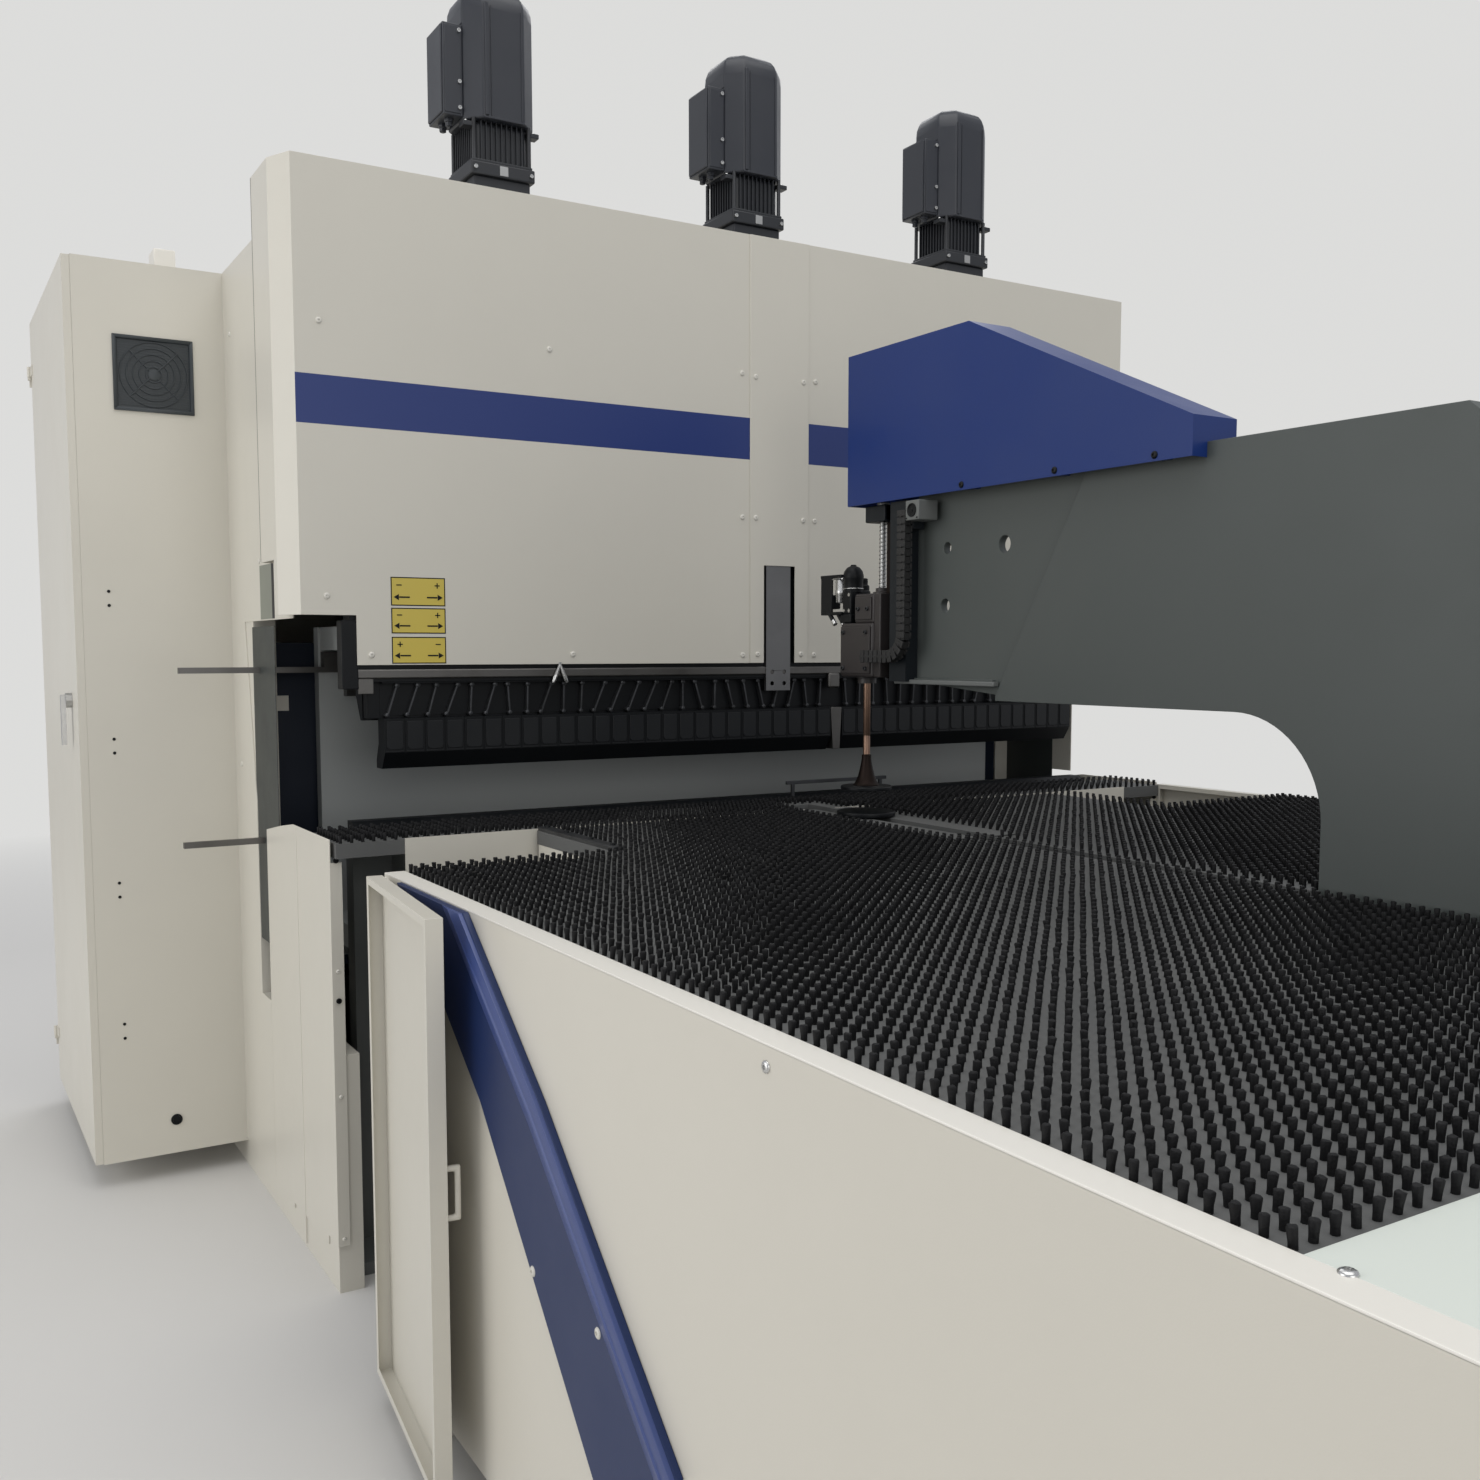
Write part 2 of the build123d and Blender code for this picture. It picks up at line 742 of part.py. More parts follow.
# slide blocks that carry the bending frame
with BuildPart() as bending_slides:
    with Locations((-frame_inner_x + slide_gap, slide_front_y, slide_low_z)):
        Box(
            frame_inner_x - slide_gap - slide_low_x,
            slide_rear_y - slide_front_y,
            slide_top_z - slide_low_z,
            align=corner,
        )
    with Locations([(-frame_inner_x, slide_front_y, z - slide_gap) for z in (way_low_z, way_high_z)]):
        Box(
            way_depth + slide_gap,
            slide_rear_y - slide_front_y,
            way_height + 2 * slide_gap,
            align=corner,
            mode=Mode.SUBTRACT,
        )
    with Locations((-tongue_low_x - tongue_width - slide_gap, slide_front_y, slide_low_z)):
        Box(
            tongue_width + 2 * slide_gap,
            wall_front_y + wall_thick + tongue_depth + slide_gap - slide_front_y,
            slide_top_z - slide_low_z,
            align=corner,
            mode=Mode.SUBTRACT,
        )
    mirror(about=Plane.YZ)

# C-shaped bending frame with tongues for the slide blocks
with BuildPart() as bending_frame:
    with Locations((-wall_half, wall_front_y, wall_low_z)):
        Box(2 * wall_half, wall_thick, wall_top_z - wall_low_z, align=corner)
    with Locations((-blade_half, upper_blade_rear_y, wall_top_z - arm_thick)):
        Box(2 * blade_half, wall_front_y - upper_blade_rear_y, arm_thick, align=corner)
    with Locations((-blade_half, lower_blade_rear_y, low_arm_z)):
        Box(2 * blade_half, wall_front_y - lower_blade_rear_y, arm_thick, align=corner)
    with Locations([(-tongue_low_x - tongue_width, wall_front_y + wall_thick, tongue_low_z)]):
        Box(tongue_width, tongue_depth, tongue_top_z - tongue_low_z, align=corner)
    with Locations([(tongue_low_x, wall_front_y + wall_thick, tongue_low_z)]):
        Box(tongue_width, tongue_depth, tongue_top_z - tongue_low_z, align=corner)

with BuildPart() as upper_blade:
    with BuildSketch(Plane.YZ.offset(-blade_half)):
        Polygon(
            (blade_front_y, upper_blade_low_z),
            (blade_front_y + 16, upper_blade_low_z),
            (upper_blade_rear_y, upper_blade_low_z + 60),
            (upper_blade_rear_y, wall_top_z),
            (blade_front_y, wall_top_z),
            align=None,
        )
    extrude(amount=2 * blade_half)

with BuildPart() as lower_blade:
    with BuildSketch(Plane.YZ.offset(-blade_half)):
        Polygon(
            (blade_front_y, low_arm_z),
            (lower_blade_rear_y, low_arm_z),
            (lower_blade_rear_y, 990),
            (70, lower_blade_top_z - 5),
            (40, lower_blade_top_z),
            (blade_front_y, lower_blade_top_z),
            align=None,
        )
    extrude(amount=2 * blade_half)

# side rails with their brackets on the wall
with BuildPart() as side_rails:
    for z in (side_rail_high_z, side_rail_low_z):
        with Locations((-side_rail_end_x, wall_front_y - side_rail_size, z - side_rail_size / 2)):
            Box(side_rail_end_x - side_rail_inner_x, side_rail_size, side_rail_size, align=corner)
        with Locations((side_rail_inner_x, wall_front_y - side_rail_size, z - side_rail_size / 2)):
            Box(150, side_rail_size, side_rail_size, align=corner)
    with Locations((-side_rail_inner_x, wall_front_y - 30, 1339)):
        Box(35, 30, 121, align=corner)
    with Locations((-wall_half + 6, wall_front_y - 30, side_rail_high_z + side_rail_size / 2)):
        Box(45, 30, 40, align=corner)
    with Locations((-side_rail_inner_x + 39, wall_front_y - 5, 1338)):
        Box(53, 5, 54, align=corner)

# lower tool on the lower beam
with BuildPart() as lower_tool:
    with BuildSketch(Plane.YZ.offset(-ram_half)):
        Polygon(
            (beam_rear_y, beam_top_z),
            (beam_rear_y, 1051),
            (-40, 1051),
            (beam_front_y, 1040),
            (beam_front_y, beam_top_z),
            align=None,
        )
    extrude(amount=2 * ram_half)

# stop bar on two posts
with BuildPart() as sheet_stop:
    with Locations([(40, -81, board_top_z), (348, -81, board_top_z)]):
        Box(10, 8, 46, align=corner)
    with Locations((23, -81, 1082)):
        Box(351, 8, 10, align=corner)

# narrow brush strip at the machine, rows run across
board_thick = board_top_z - board_low_z
with BuildPart() as strip_brush_board:
    with Locations((-strip_board_half, strip_board_front_y, board_low_z)):
        Box(2 * strip_board_half, strip_depth, board_thick, align=corner)
    for row in range(strip_rows):
        row_y = strip_first_row_y + strip_row_pitch * row - tuft_width / 2
        if row_y < strip_slot_rear_y:
            with Locations((-strip_board_half, row_y, board_top_z), (strip_bare_half, row_y, board_top_z)):
                Box(strip_board_half - strip_bare_half, tuft_width, tuft_height, align=corner)
        else:
            with Locations((-strip_board_half, row_y, board_top_z)):
                Box(2 * strip_board_half, tuft_width, tuft_height, align=corner)
    with Locations((-strip_slot_half, strip_board_front_y, board_low_z)):
        Box(
            2 * strip_slot_half,
            strip_slot_rear_y - strip_board_front_y,
            board_thick,
            align=corner,
            mode=Mode.SUBTRACT,
        )

with BuildPart() as strip_front_board:
    with Locations((-front_board_half, strip_board_front_y - sheet, front_board_low_z)):
        Box(2 * front_board_half, sheet, board_top_z - front_board_low_z, align=corner)
    with Locations((-strip_slot_half, strip_board_front_y - sheet, front_board_low_z + front_board_bridge)):
        Box(
            2 * strip_slot_half,
            sheet,
            board_top_z - front_board_low_z,
            align=corner,
            mode=Mode.SUBTRACT,
        )

# brush boards left and right of the slot, rows run along the table
with BuildPart() as brush_board_left:
    with BuildSketch(Plane.XY.offset(board_low_z)):
        Polygon(
            (-table_slot_half, board_front_y),
            (-board_outer_x, board_front_y),
            (-board_outer_x, table_rear_y),
            (-centre_half, table_rear_y),
            (-centre_half, centre_rear_y),
            (-bare_half, centre_rear_y),
            (-bare_half, bare_front_y),
            (-table_slot_half, bare_front_y),
            align=None,
        )
    extrude(amount=board_top_z - board_low_z)
    for row in range(tuft_rows):
        row_x = first_tuft_x + tuft_pitch * row
        row_end = table_rear_y - 4
        if row_x < centre_half - tuft_width:
            row_end = centre_rear_y - 4
        if row_x < bare_half:
            row_end = bare_front_y
        with Locations((-row_x - tuft_width / 2, board_front_y + 4, board_top_z)):
            Box(tuft_width, row_end - board_front_y - 4, tuft_height, align=corner)

with BuildPart() as brush_board_right:
    mirror(brush_board_left.part, about=Plane.YZ)

# bare plates beside the slot, where the discs of the arm run
with BuildPart() as slot_plates:
    with Locations((-bare_half, bare_front_y, board_low_z), (table_slot_half, bare_front_y, board_low_z)):
        Box(bare_half - table_slot_half, centre_rear_y - bare_front_y, board_thick, align=corner)

# table side panels with their broad top rails
with BuildPart() as table_side_left:
    with Locations((-table_outer_x, table_front_y, board_low_z)):
        Box(table_outer_x - board_outer_x, table_rear_y - table_front_y, board_thick, align=corner)
    with Locations((-table_outer_x, table_front_y, table_side_low_z)):
        Box(sheet, table_rear_y - table_front_y, board_low_z - table_side_low_z, align=corner)

with BuildPart() as table_side_right:
    mirror(table_side_left.part, about=Plane.YZ)

# front plate with its apron
with BuildPart() as front_plate:
    with Locations((-board_outer_x, table_front_y, board_low_z)):
        Box(2 * board_outer_x, board_front_y - table_front_y, board_top_z - board_low_z, align=corner)
    with Locations((-table_outer_x + sheet, table_front_y, table_side_low_z)):
        Box(2 * (table_outer_x - sheet), sheet, board_low_z - table_side_low_z, align=corner)

# table frame: separate tubes that meet at their welds, tied to the lower beam by two low link bars
frame_x = table_outer_x - sheet
leg_x = [tube / 2 - frame_x, -leg_inner_x - tube / 2, leg_inner_x + tube / 2, frame_x - tube / 2]
leg_half = leg_tube / 2
slot_beam_x = 2 * tube
centre_frame_y = centre_rear_y - 10
with BuildPart() as table_frame:
    # long beams: two at the sides, two beside the slot
    with BuildSketch(Plane.XY.offset(board_low_z - tube)):
        for x in (-frame_x, frame_x - tube):
            with Locations((x, table_front_y + sheet)):
                Rectangle(tube, table_rear_y - table_front_y - sheet, align=(Align.MIN, Align.MIN))
        for x in (-slot_beam_x, slot_beam_x - tube):
            with Locations((x, table_front_y + sheet)):
                Rectangle(tube, centre_frame_y - table_front_y - sheet, align=(Align.MIN, Align.MIN))
        # cross beams of the three rows, and the frame of the centre board
        cross_length = frame_x - tube - slot_beam_x - 2 * weld_gap
        for y in beam_rows_y:
            for x in (tube + weld_gap - frame_x, slot_beam_x + weld_gap):
                with Locations((x, y)):
                    Rectangle(cross_length, tube, align=(Align.MIN, Align.MIN))
        centre_low_y = beam_rows_y[2] + tube + weld_gap
        for x in (-centre_half, centre_half - tube):
            with Locations((x, centre_low_y)):
                Rectangle(tube, centre_frame_y - centre_low_y, align=(Align.MIN, Align.MIN))
        for x in (tube + weld_gap - centre_half, slot_beam_x + weld_gap):
            with Locations((x, centre_frame_y - tube)):
                Rectangle(centre_half - tube - slot_beam_x - 2 * weld_gap, tube, align=(Align.MIN, Align.MIN))
    extrude(amount=tube)
    # legs
    with BuildSketch(Plane.XY.offset(foot_thick + weld_gap)):
        with Locations([(x, y + tube / 2) for y in beam_rows_y for x in leg_x]):
            Rectangle(leg_tube, leg_tube)
    extrude(amount=board_low_z - tube - foot_thick - 2 * weld_gap)
    # foot plates
    with BuildSketch():
        with Locations([(x, y + tube / 2) for y in beam_rows_y for x in leg_x]):
            Rectangle(foot_side, foot_side)
    extrude(amount=foot_thick)
    # low ties between the legs, and the link bars
    with BuildSketch(Plane.XY.offset(tie_low_z)):
        for y in beam_rows_y:
            for low_x, high_x in zip(leg_x[:-1], leg_x[1:]):
                tie_low_x = low_x + leg_half + weld_gap
                with Locations((tie_low_x, y)):
                    Rectangle(high_x - leg_half - weld_gap - tie_low_x, tube, align=(Align.MIN, Align.MIN))
        link_low_y = beam_rows_y[2] + tube / 2 + leg_half + weld_gap
        for x in leg_x[1:3]:
            with Locations((x, link_low_y)):
                Rectangle(leg_tube, beam_front_y - link_low_y, align=(Align.CENTER, Align.MIN))
    extrude(amount=tube)

# guide beams and rails for the manipulator
with BuildPart() as arm_rails:
    for x in (-guide_centre_x, guide_centre_x):
        with Locations((x - tube / 2, guide_front_y, guide_low_z)):
            Box(tube, guide_rear_y - guide_front_y, tube, align=corner)
        post_low_z = tie_low_z + tube
        post_low_x = x - tube / 2
        post_places = [(post_low_x, y, post_low_z) for y in (beam_rows_y[0] + 30, beam_rows_y[1])]
        with Locations(post_places):
            Box(tube, 30, guide_low_z - post_low_z, align=corner)
        with Locations((x - tube / 2, guide_rear_y - tube, 0)):
            Box(tube, tube, guide_low_z, align=corner)
        with Locations((x - arm_rail_width / 2, guide_front_y + 20, guide_low_z + tube)):
            Box(arm_rail_width, guide_rear_y - guide_front_y - 40, arm_rail_height, align=corner)

# slanted braces on the table sides
brace_thick = 12
with BuildPart() as table_braces:
    with BuildSketch(Plane.YZ.offset(-table_outer_x)):
        Polygon(
            (-855, 1034),
            (-1200, 1034),
            (-1506, 805),
            (-1920, 444),
            (-1683, 318),
            (-1268, 738),
            align=None,
        )
    extrude(amount=-brace_thick)
    mirror(about=Plane.YZ)

# pin hinges of the access doors: a leaf with a lug, and the pin on the lug
leaf_reach = 34
leaf_thick = 3
lug_half = 6
with BuildPart() as door_hinges:
    for z in knuckle_z:
        lug_z = z + knuckle_height - hinge_lug_height
        with Locations((pin_x - 1, pin_y - leaf_reach, z)):
            Box(-table_outer_x - pin_x + 1, leaf_reach, knuckle_height, align=corner)
        with Locations((pin_x - lug_half, pin_y - lug_half, lug_z)):
            Box(-table_outer_x - pin_x + lug_half, 2 * lug_half, hinge_lug_height, align=corner)
        with Locations((pin_x, pin_y, lug_z)):
            Cylinder(pin_radius, hinge_lug_height + knuckle_height, align=upright)
    mirror(about=Plane.YZ)

# access doors: trays with turned edges, built closed, the left one then turned open
door_width = door_closed_rear_y - door_closed_front_y
door_height = board_top_z - door_low_z
with BuildPart() as door_closed:
    with Locations((-table_outer_x, door_closed_front_y, door_low_z)):
        Box(door_thick, door_width, door_height, align=corner)
    door_skin_x = -table_outer_x + door_sheet
    with Locations((door_skin_x, door_closed_front_y + door_sheet, door_low_z + door_sheet)):
        Box(
            door_thick - 2 * door_sheet,
            door_width - 2 * door_sheet,
            door_height - 2 * door_sheet,
            align=corner,
            mode=Mode.SUBTRACT,
        )
    with Locations((door_skin_x, door_closed_front_y + door_lip, door_low_z + door_lip)):
        Box(
            door_thick,
            door_width - 2 * door_lip,
            door_height - 2 * door_lip,
            align=corner,
            mode=Mode.SUBTRACT,
        )
    for z in knuckle_z:
        barrel_z = z + knuckle_height + slide_gap
        with Locations((-table_outer_x - leaf_thick, pin_y + leaf_thick, barrel_z)):
            Box(leaf_thick, leaf_reach, knuckle_height - slide_gap, align=corner)
        with Locations((pin_x, pin_y, barrel_z)):
            Cylinder(knuckle_radius, knuckle_height - slide_gap, align=upright)
            Cylinder(pin_radius + turn_gap, knuckle_height - slide_gap, align=upright, mode=Mode.SUBTRACT)

# bar handle on the outer face, near the free edge
door_handle_x = -table_outer_x - door_handle_reach
door_handle_front_y = door_handle_y - door_handle_bar / 2
with BuildPart() as handle_closed:
    for z in (door_handle_low_z, door_handle_high_z - door_handle_bar):
        with Locations((door_handle_x, door_handle_front_y, z)):
            Box(door_handle_reach, door_handle_bar, door_handle_bar, align=corner)
    with Locations((door_handle_x, door_handle_front_y, door_handle_low_z)):
        Box(door_handle_bar, door_handle_bar, door_handle_high_z - door_handle_low_z, align=corner)

hinge_axis = Axis((pin_x, pin_y, 0), (0, 0, 1))
with BuildPart() as access_door_left:
    add(door_closed.part.rotate(hinge_axis, door_open_angle))

with BuildPart() as door_handle_left:
    add(handle_closed.part.rotate(hinge_axis, door_open_angle))

with BuildPart() as access_door_right:
    mirror(door_closed.part, about=Plane.YZ)

with BuildPart() as door_handle_right:
    mirror(handle_closed.part, about=Plane.YZ)

# manipulator arm: thick plate with a thinner head
throat_centre_y = throat_y + throat_arc
throat_centre_z = throat_top_z - throat_arc
arc_point_y = throat_centre_y - throat_arc * 0.70711
arc_point_z = throat_centre_z + throat_arc * 0.70711
with BuildPart() as arm_plate:
    with BuildSketch(Plane.YZ.offset(-plate_thick / 2)):
        with BuildLine():
            Polyline(
                (throat_centre_y, throat_top_z),
                (-990, throat_top_z),
                (-985, 1360),
                (head_front_y, column_low_z),
                (head_front_y, arm_top_z),
                (arm_slope_y, arm_top_z),
                (arm_rear_y, arm_rear_z),
                (arm_rear_y, carriage_low_z + carriage_thick),
                (-1750, carriage_low_z + carriage_thick),
                (-1650, jaw_low_z),
                (-600, jaw_low_z),
                (jaw_front_end_y, 780),
                (jaw_front_end_y, jaw_high_z),
                (throat_y, jaw_high_z),
                (throat_y, throat_centre_z),
            )
            ThreePointArc(
                (throat_y, throat_centre_z),
                (arc_point_y, arc_point_z),
                (throat_centre_y, throat_top_z),
            )
        make_face()
    extrude(amount=plate_thick)
    with BuildSketch(Plane.YZ.offset(-plate_thick / 2)):
        Polygon(
            (arm_thin_y, arm_top_z),
            (-990, 1358),
            (-990, 1340),
            (head_front_y, 1340),
            (head_front_y, arm_top_z),
            align=None,
        )
    extrude(amount=(plate_thick - head_thick) / 2, mode=Mode.SUBTRACT)
    with BuildSketch(Plane.YZ.offset(head_thick / 2)):
        Polygon(
            (arm_thin_y, arm_top_z),
            (-990, 1358),
            (-990, 1340),
            (head_front_y, 1340),
            (head_front_y, arm_top_z),
            align=None,
        )
    extrude(amount=(plate_thick - head_thick) / 2, mode=Mode.SUBTRACT)
    with BuildSketch(Plane.YZ.offset(-plate_thick)):
        with Locations((-808, 1697)):
            Circle(13.5)
        with Locations((-1003, 1694)):
            Circle(19)
        with Locations((-802, 1564)):
            Circle(16)
    extrude(amount=2 * plate_thick, mode=Mode.SUBTRACT)
    with Locations((-head_thick, -980, 1380), (head_thick / 2, -980, 1380)):
        Box(head_thick / 2, 278, 14, align=corner)
    # spindle housing at the end of the lower jaw
    with Locations((-2 * spindle_radius, press_y - 55, spindle_low_z - 20)):
        Box(4 * spindle_radius, 110, jaw_high_z - spindle_low_z + 20, align=corner)
    with Locations((0, press_y, spindle_low_z)):
        Cylinder(spindle_radius + turn_gap, 100, align=upright, mode=Mode.SUBTRACT)

# blue hood over the arm
with BuildPart() as arm_cover:
    with BuildSketch(Plane.YZ.offset(-hood_half)):
        Polygon(
            (hood_end_y, hood_low_z),
            (hood_end_y, hood_top_z),
            (hood_flat_y, hood_top_z),
            (hood_front_y, hood_front_z),
            (hood_front_y, hood_low_z),
            align=None,
        )
    extrude(amount=2 * hood_half)
    with BuildSketch(Plane.YZ.offset(-hood_half + hood_sheet)):
        Polygon(
            (hood_end_y - hood_sheet, hood_low_z),
            (hood_end_y - hood_sheet, hood_top_z - hood_sheet),
            (hood_flat_y, hood_top_z - hood_sheet),
            (hood_front_y + hood_sheet, hood_front_z - hood_sheet),
            (hood_front_y + hood_sheet, hood_low_z),
            align=None,
        )
    extrude(amount=2 * (hood_half - hood_sheet), mode=Mode.SUBTRACT)
    with Locations((-plate_thick / 2, hood_front_y, hood_low_z)):
        Box(plate_thick, hood_sheet, arm_top_z - hood_low_z, align=corner, mode=Mode.SUBTRACT)
    # spacers between the plate and the hood walls, under the three pairs of screws
    for y in hood_screw_y:
        plate_half = plate_thick / 2
        if y > arm_thin_y:
            plate_half = head_thick / 2
        spacer_y = y - hood_spacer / 2
        spacer_width = hood_half - plate_half
        for x in (-hood_half, plate_half):
            with Locations((x, spacer_y, hood_spacer_low_z)):
                Box(spacer_width, hood_spacer, hood_spacer_height, align=corner)

# carriage with its runner blocks
carriage_top_z = carriage_low_z + carriage_thick
rail_top_z = guide_low_z + tube + arm_rail_height
with BuildPart() as arm_carriage:
    with Locations((-carriage_half, carriage_front_y, carriage_low_z)):
        Box(2 * carriage_half, carriage_rear_y - carriage_front_y, carriage_thick, align=corner)
    for x in (-guide_centre_x, guide_centre_x):
        for y in (carriage_front_y + 40, carriage_rear_y - 40 - runner_length):
            with Locations((x - 32, y, rail_top_z - 25)):
                Box(64, runner_length, carriage_low_z - rail_top_z + 25, align=corner)
            groove_width = arm_rail_width + 2 * slide_gap
            with Locations((x - groove_width / 2, y, rail_top_z - 25)):
                Box(groove_width, runner_length, 25 + slide_gap, align=corner, mode=Mode.SUBTRACT)
    for x in (-110, plate_thick / 2):
        with Locations((x, -2240, carriage_top_z), (x, -1900, carriage_top_z)):
            Box(90, 20, 140, align=corner)

# head column, bearing block and bracket of the chain
with BuildPart() as head_column:
    with Locations((-column_half, head_front_y, column_low_z)):
        Box(2 * column_half, column_front_y - head_front_y, column_top_z - column_low_z, align=corner)
    with Locations((-guide_half, column_front_y, column_low_z + 5)):
        Box(2 * guide_half, guide_depth, bearing_low_z - column_low_z - 5, align=corner)
    with Locations((-35, column_front_y, bearing_low_z)):
        Box(70, 80, column_top_z - bearing_low_z, align=corner)
    with Locations((0, screw_y, bearing_low_z)):
        Cylinder(screw_radius + turn_gap, column_top_z - bearing_low_z, align=upright, mode=Mode.SUBTRACT)
    with Locations((-head_half, head_front_y - 35, 1745)):
        Box(head_half - head_thick / 2, 35, 40, align=corner)
    with Locations((-column_half - 30, -672, 1764)):
        Box(30, 45, 42, align=corner)

# energy chain from the bracket to the head carriage: a straight run, a bend and a short run
chain_width = 24
chain_thick = 30
chain_y = -720
chain_bend = 55
chain_low_z = 1500
chain_top_z = 1790
chain_end_y = -560
with BuildPart() as energy_chain:
    with BuildSketch(Plane.YZ.offset(-head_half - chain_width)):
        with Locations((chain_y + chain_bend, chain_low_z)):
            Circle(chain_bend + chain_thick / 2)
            Circle(chain_bend - chain_thick / 2, mode=Mode.SUBTRACT)
            # only the quarter below and in front of the bend's centre stays
            Rectangle(2 * chain_bend, 4 * chain_bend, align=(Align.MIN, Align.CENTER), mode=Mode.SUBTRACT)
            Rectangle(4 * chain_bend, 2 * chain_bend, align=(Align.CENTER, Align.MIN), mode=Mode.SUBTRACT)
        with Locations((chain_y, chain_low_z)):
            Rectangle(chain_thick, chain_top_z - chain_low_z, align=(Align.CENTER, Align.MIN))
        with Locations((chain_y + chain_bend, chain_low_z - chain_bend)):
            Rectangle(chain_end_y - chain_y - chain_bend, chain_thick, align=(Align.MIN, Align.CENTER))
    extrude(amount=chain_width)

# lift screw with its collar above the bearing
with BuildPart() as lift_screw:
    with Locations((0, screw_y, screw_low_z)):
        Cylinder(screw_radius, column_top_z + 10 - screw_low_z, align=upright)
    with Locations((0, screw_y, column_top_z + slide_gap)):
        Cylinder(16, 10, align=upright)

# carriage of the head on the column rail
with BuildPart() as head_carriage:
    with Locations((-head_half, head_back_y, head_low_z)):
        Box(2 * head_half, head_front_face_y - head_back_y, head_step_z - head_low_z, align=corner)
    with Locations((-head_half, head_back_y, head_step_z)):
        Box(2 * head_half, head_step_y - head_back_y, head_high_z - head_step_z, align=corner)
    shoe_width = column_half - guide_half - slide_gap
    for x in (-column_half, guide_half + slide_gap):
        with Locations((x, head_back_y - guide_depth, head_low_z)):
            Box(shoe_width, guide_depth, head_high_z - head_low_z, align=corner)
    with Locations((0, press_y, head_low_z - 18)):
        Cylinder(22, 18, align=upright)
    with Locations((0, screw_y, head_low_z)):
        Cylinder(screw_radius + turn_gap, head_high_z - head_low_z, align=upright, mode=Mode.SUBTRACT)
    with Locations((0, press_y, head_low_z - 18)):
        Cylinder(press_rod_radius + turn_gap, 45, align=upright, mode=Mode.SUBTRACT)

with BuildPart() as valve_unit:
    with Locations((-50, head_step_y, head_step_z)):
        Box(100, 132, 149, align=corner)

# turning press foot: rod, bell and pad
with BuildPart() as press_foot:
    with Locations((0, press_y, bell_top_z)):
        Cylinder(press_rod_radius, head_low_z + 25 - bell_top_z, align=upright)
    with Locations((0, press_y, foot_top_z)):
        Cone(bell_low_radius, bell_high_radius, bell_top_z - foot_top_z, align=upright)
    with Locations((0, press_y, foot_low_z)):
        Cylinder(foot_radius, foot_top_z - foot_low_z, align=upright)

with BuildPart() as lower_disc:
    with Locations((0, press_y, disc_low_z)):
        Cylinder(disc_radius, disc_top_z - disc_low_z, align=upright)
    with Locations((0, press_y, spindle_low_z + slide_gap)):
        Cylinder(spindle_radius, disc_low_z - spindle_low_z - slide_gap, align=upright)

pieces = {
    "base_frame": base_frame,
    "side_frame_left": side_frame_left,
    "side_frame_right": side_frame_right,
    "crown_beam": crown_beam,
    "rear_cover": rear_cover,
    "upper_cover_left": upper_cover_left,
    "upper_cover_centre": upper_cover_centre,
    "upper_cover_right": upper_cover_right,
    "side_cover_left": side_cover_left,
    "side_cover_right": side_cover_right,
    "lower_panel_left": lower_panel_left,
    "lower_panel_right": lower_panel_right,
    "cabinet_shell": cabinet_shell,
    "vent_grille": vent_grille,
    "cabinet_fan": cabinet_fan,
    "cabinet_door": cabinet_door,
    "cabinet_handle": cabinet_handle,
    "drive_motors": drive_motors,
    "motor_cowls": motor_cowls,
    "ram_beam": ram_beam,
    "tool_rail": tool_rail,
    "tool_bar": tool_bar,
    "tool_levers": tool_levers,
    "tool_segments_left": tool_segments_left,
    "tool_segments_right": tool_segments_right,
    "centre_tool": centre_tool,
    "centre_guide_bar": centre_guide_bar,
    "bending_slides": bending_slides,
    "bending_frame": bending_frame,
    "upper_blade": upper_blade,
    "lower_blade": lower_blade,
    "side_rails": side_rails,
    "lower_tool": lower_tool,
    "sheet_stop": sheet_stop,
    "strip_brush_board": strip_brush_board,
    "strip_front_board": strip_front_board,
    "brush_board_left": brush_board_left,
    "brush_board_right": brush_board_right,
    "slot_plates": slot_plates,
    "table_side_left": table_side_left,
    "table_side_right": table_side_right,
    "front_plate": front_plate,
    "table_frame": table_frame,
    "arm_rails": arm_rails,
    "table_braces": table_braces,
    "door_hinges": door_hinges,
    "access_door_left": access_door_left,
    "door_handle_left": door_handle_left,
    "access_door_right": access_door_right,
    "door_handle_right": door_handle_right,
    "arm_plate": arm_plate,
    "arm_cover": arm_cover,
    "arm_carriage": arm_carriage,
    "head_column": head_column,
    "energy_chain": energy_chain,
    "lift_screw": lift_screw,
    "head_carriage": head_carriage,
    "valve_unit": valve_unit,
    "press_foot": press_foot,
    "lower_disc": lower_disc,
}

for name, piece in pieces.items():
    piece.part.label = name
    export_step(piece.part, f"parts/{name}.step")
    print(name, len(piece.part.solids()), piece.part.bounding_box())
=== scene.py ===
import bpy
import json
import math
import numpy as np
from mathutils import Euler, Matrix, Vector


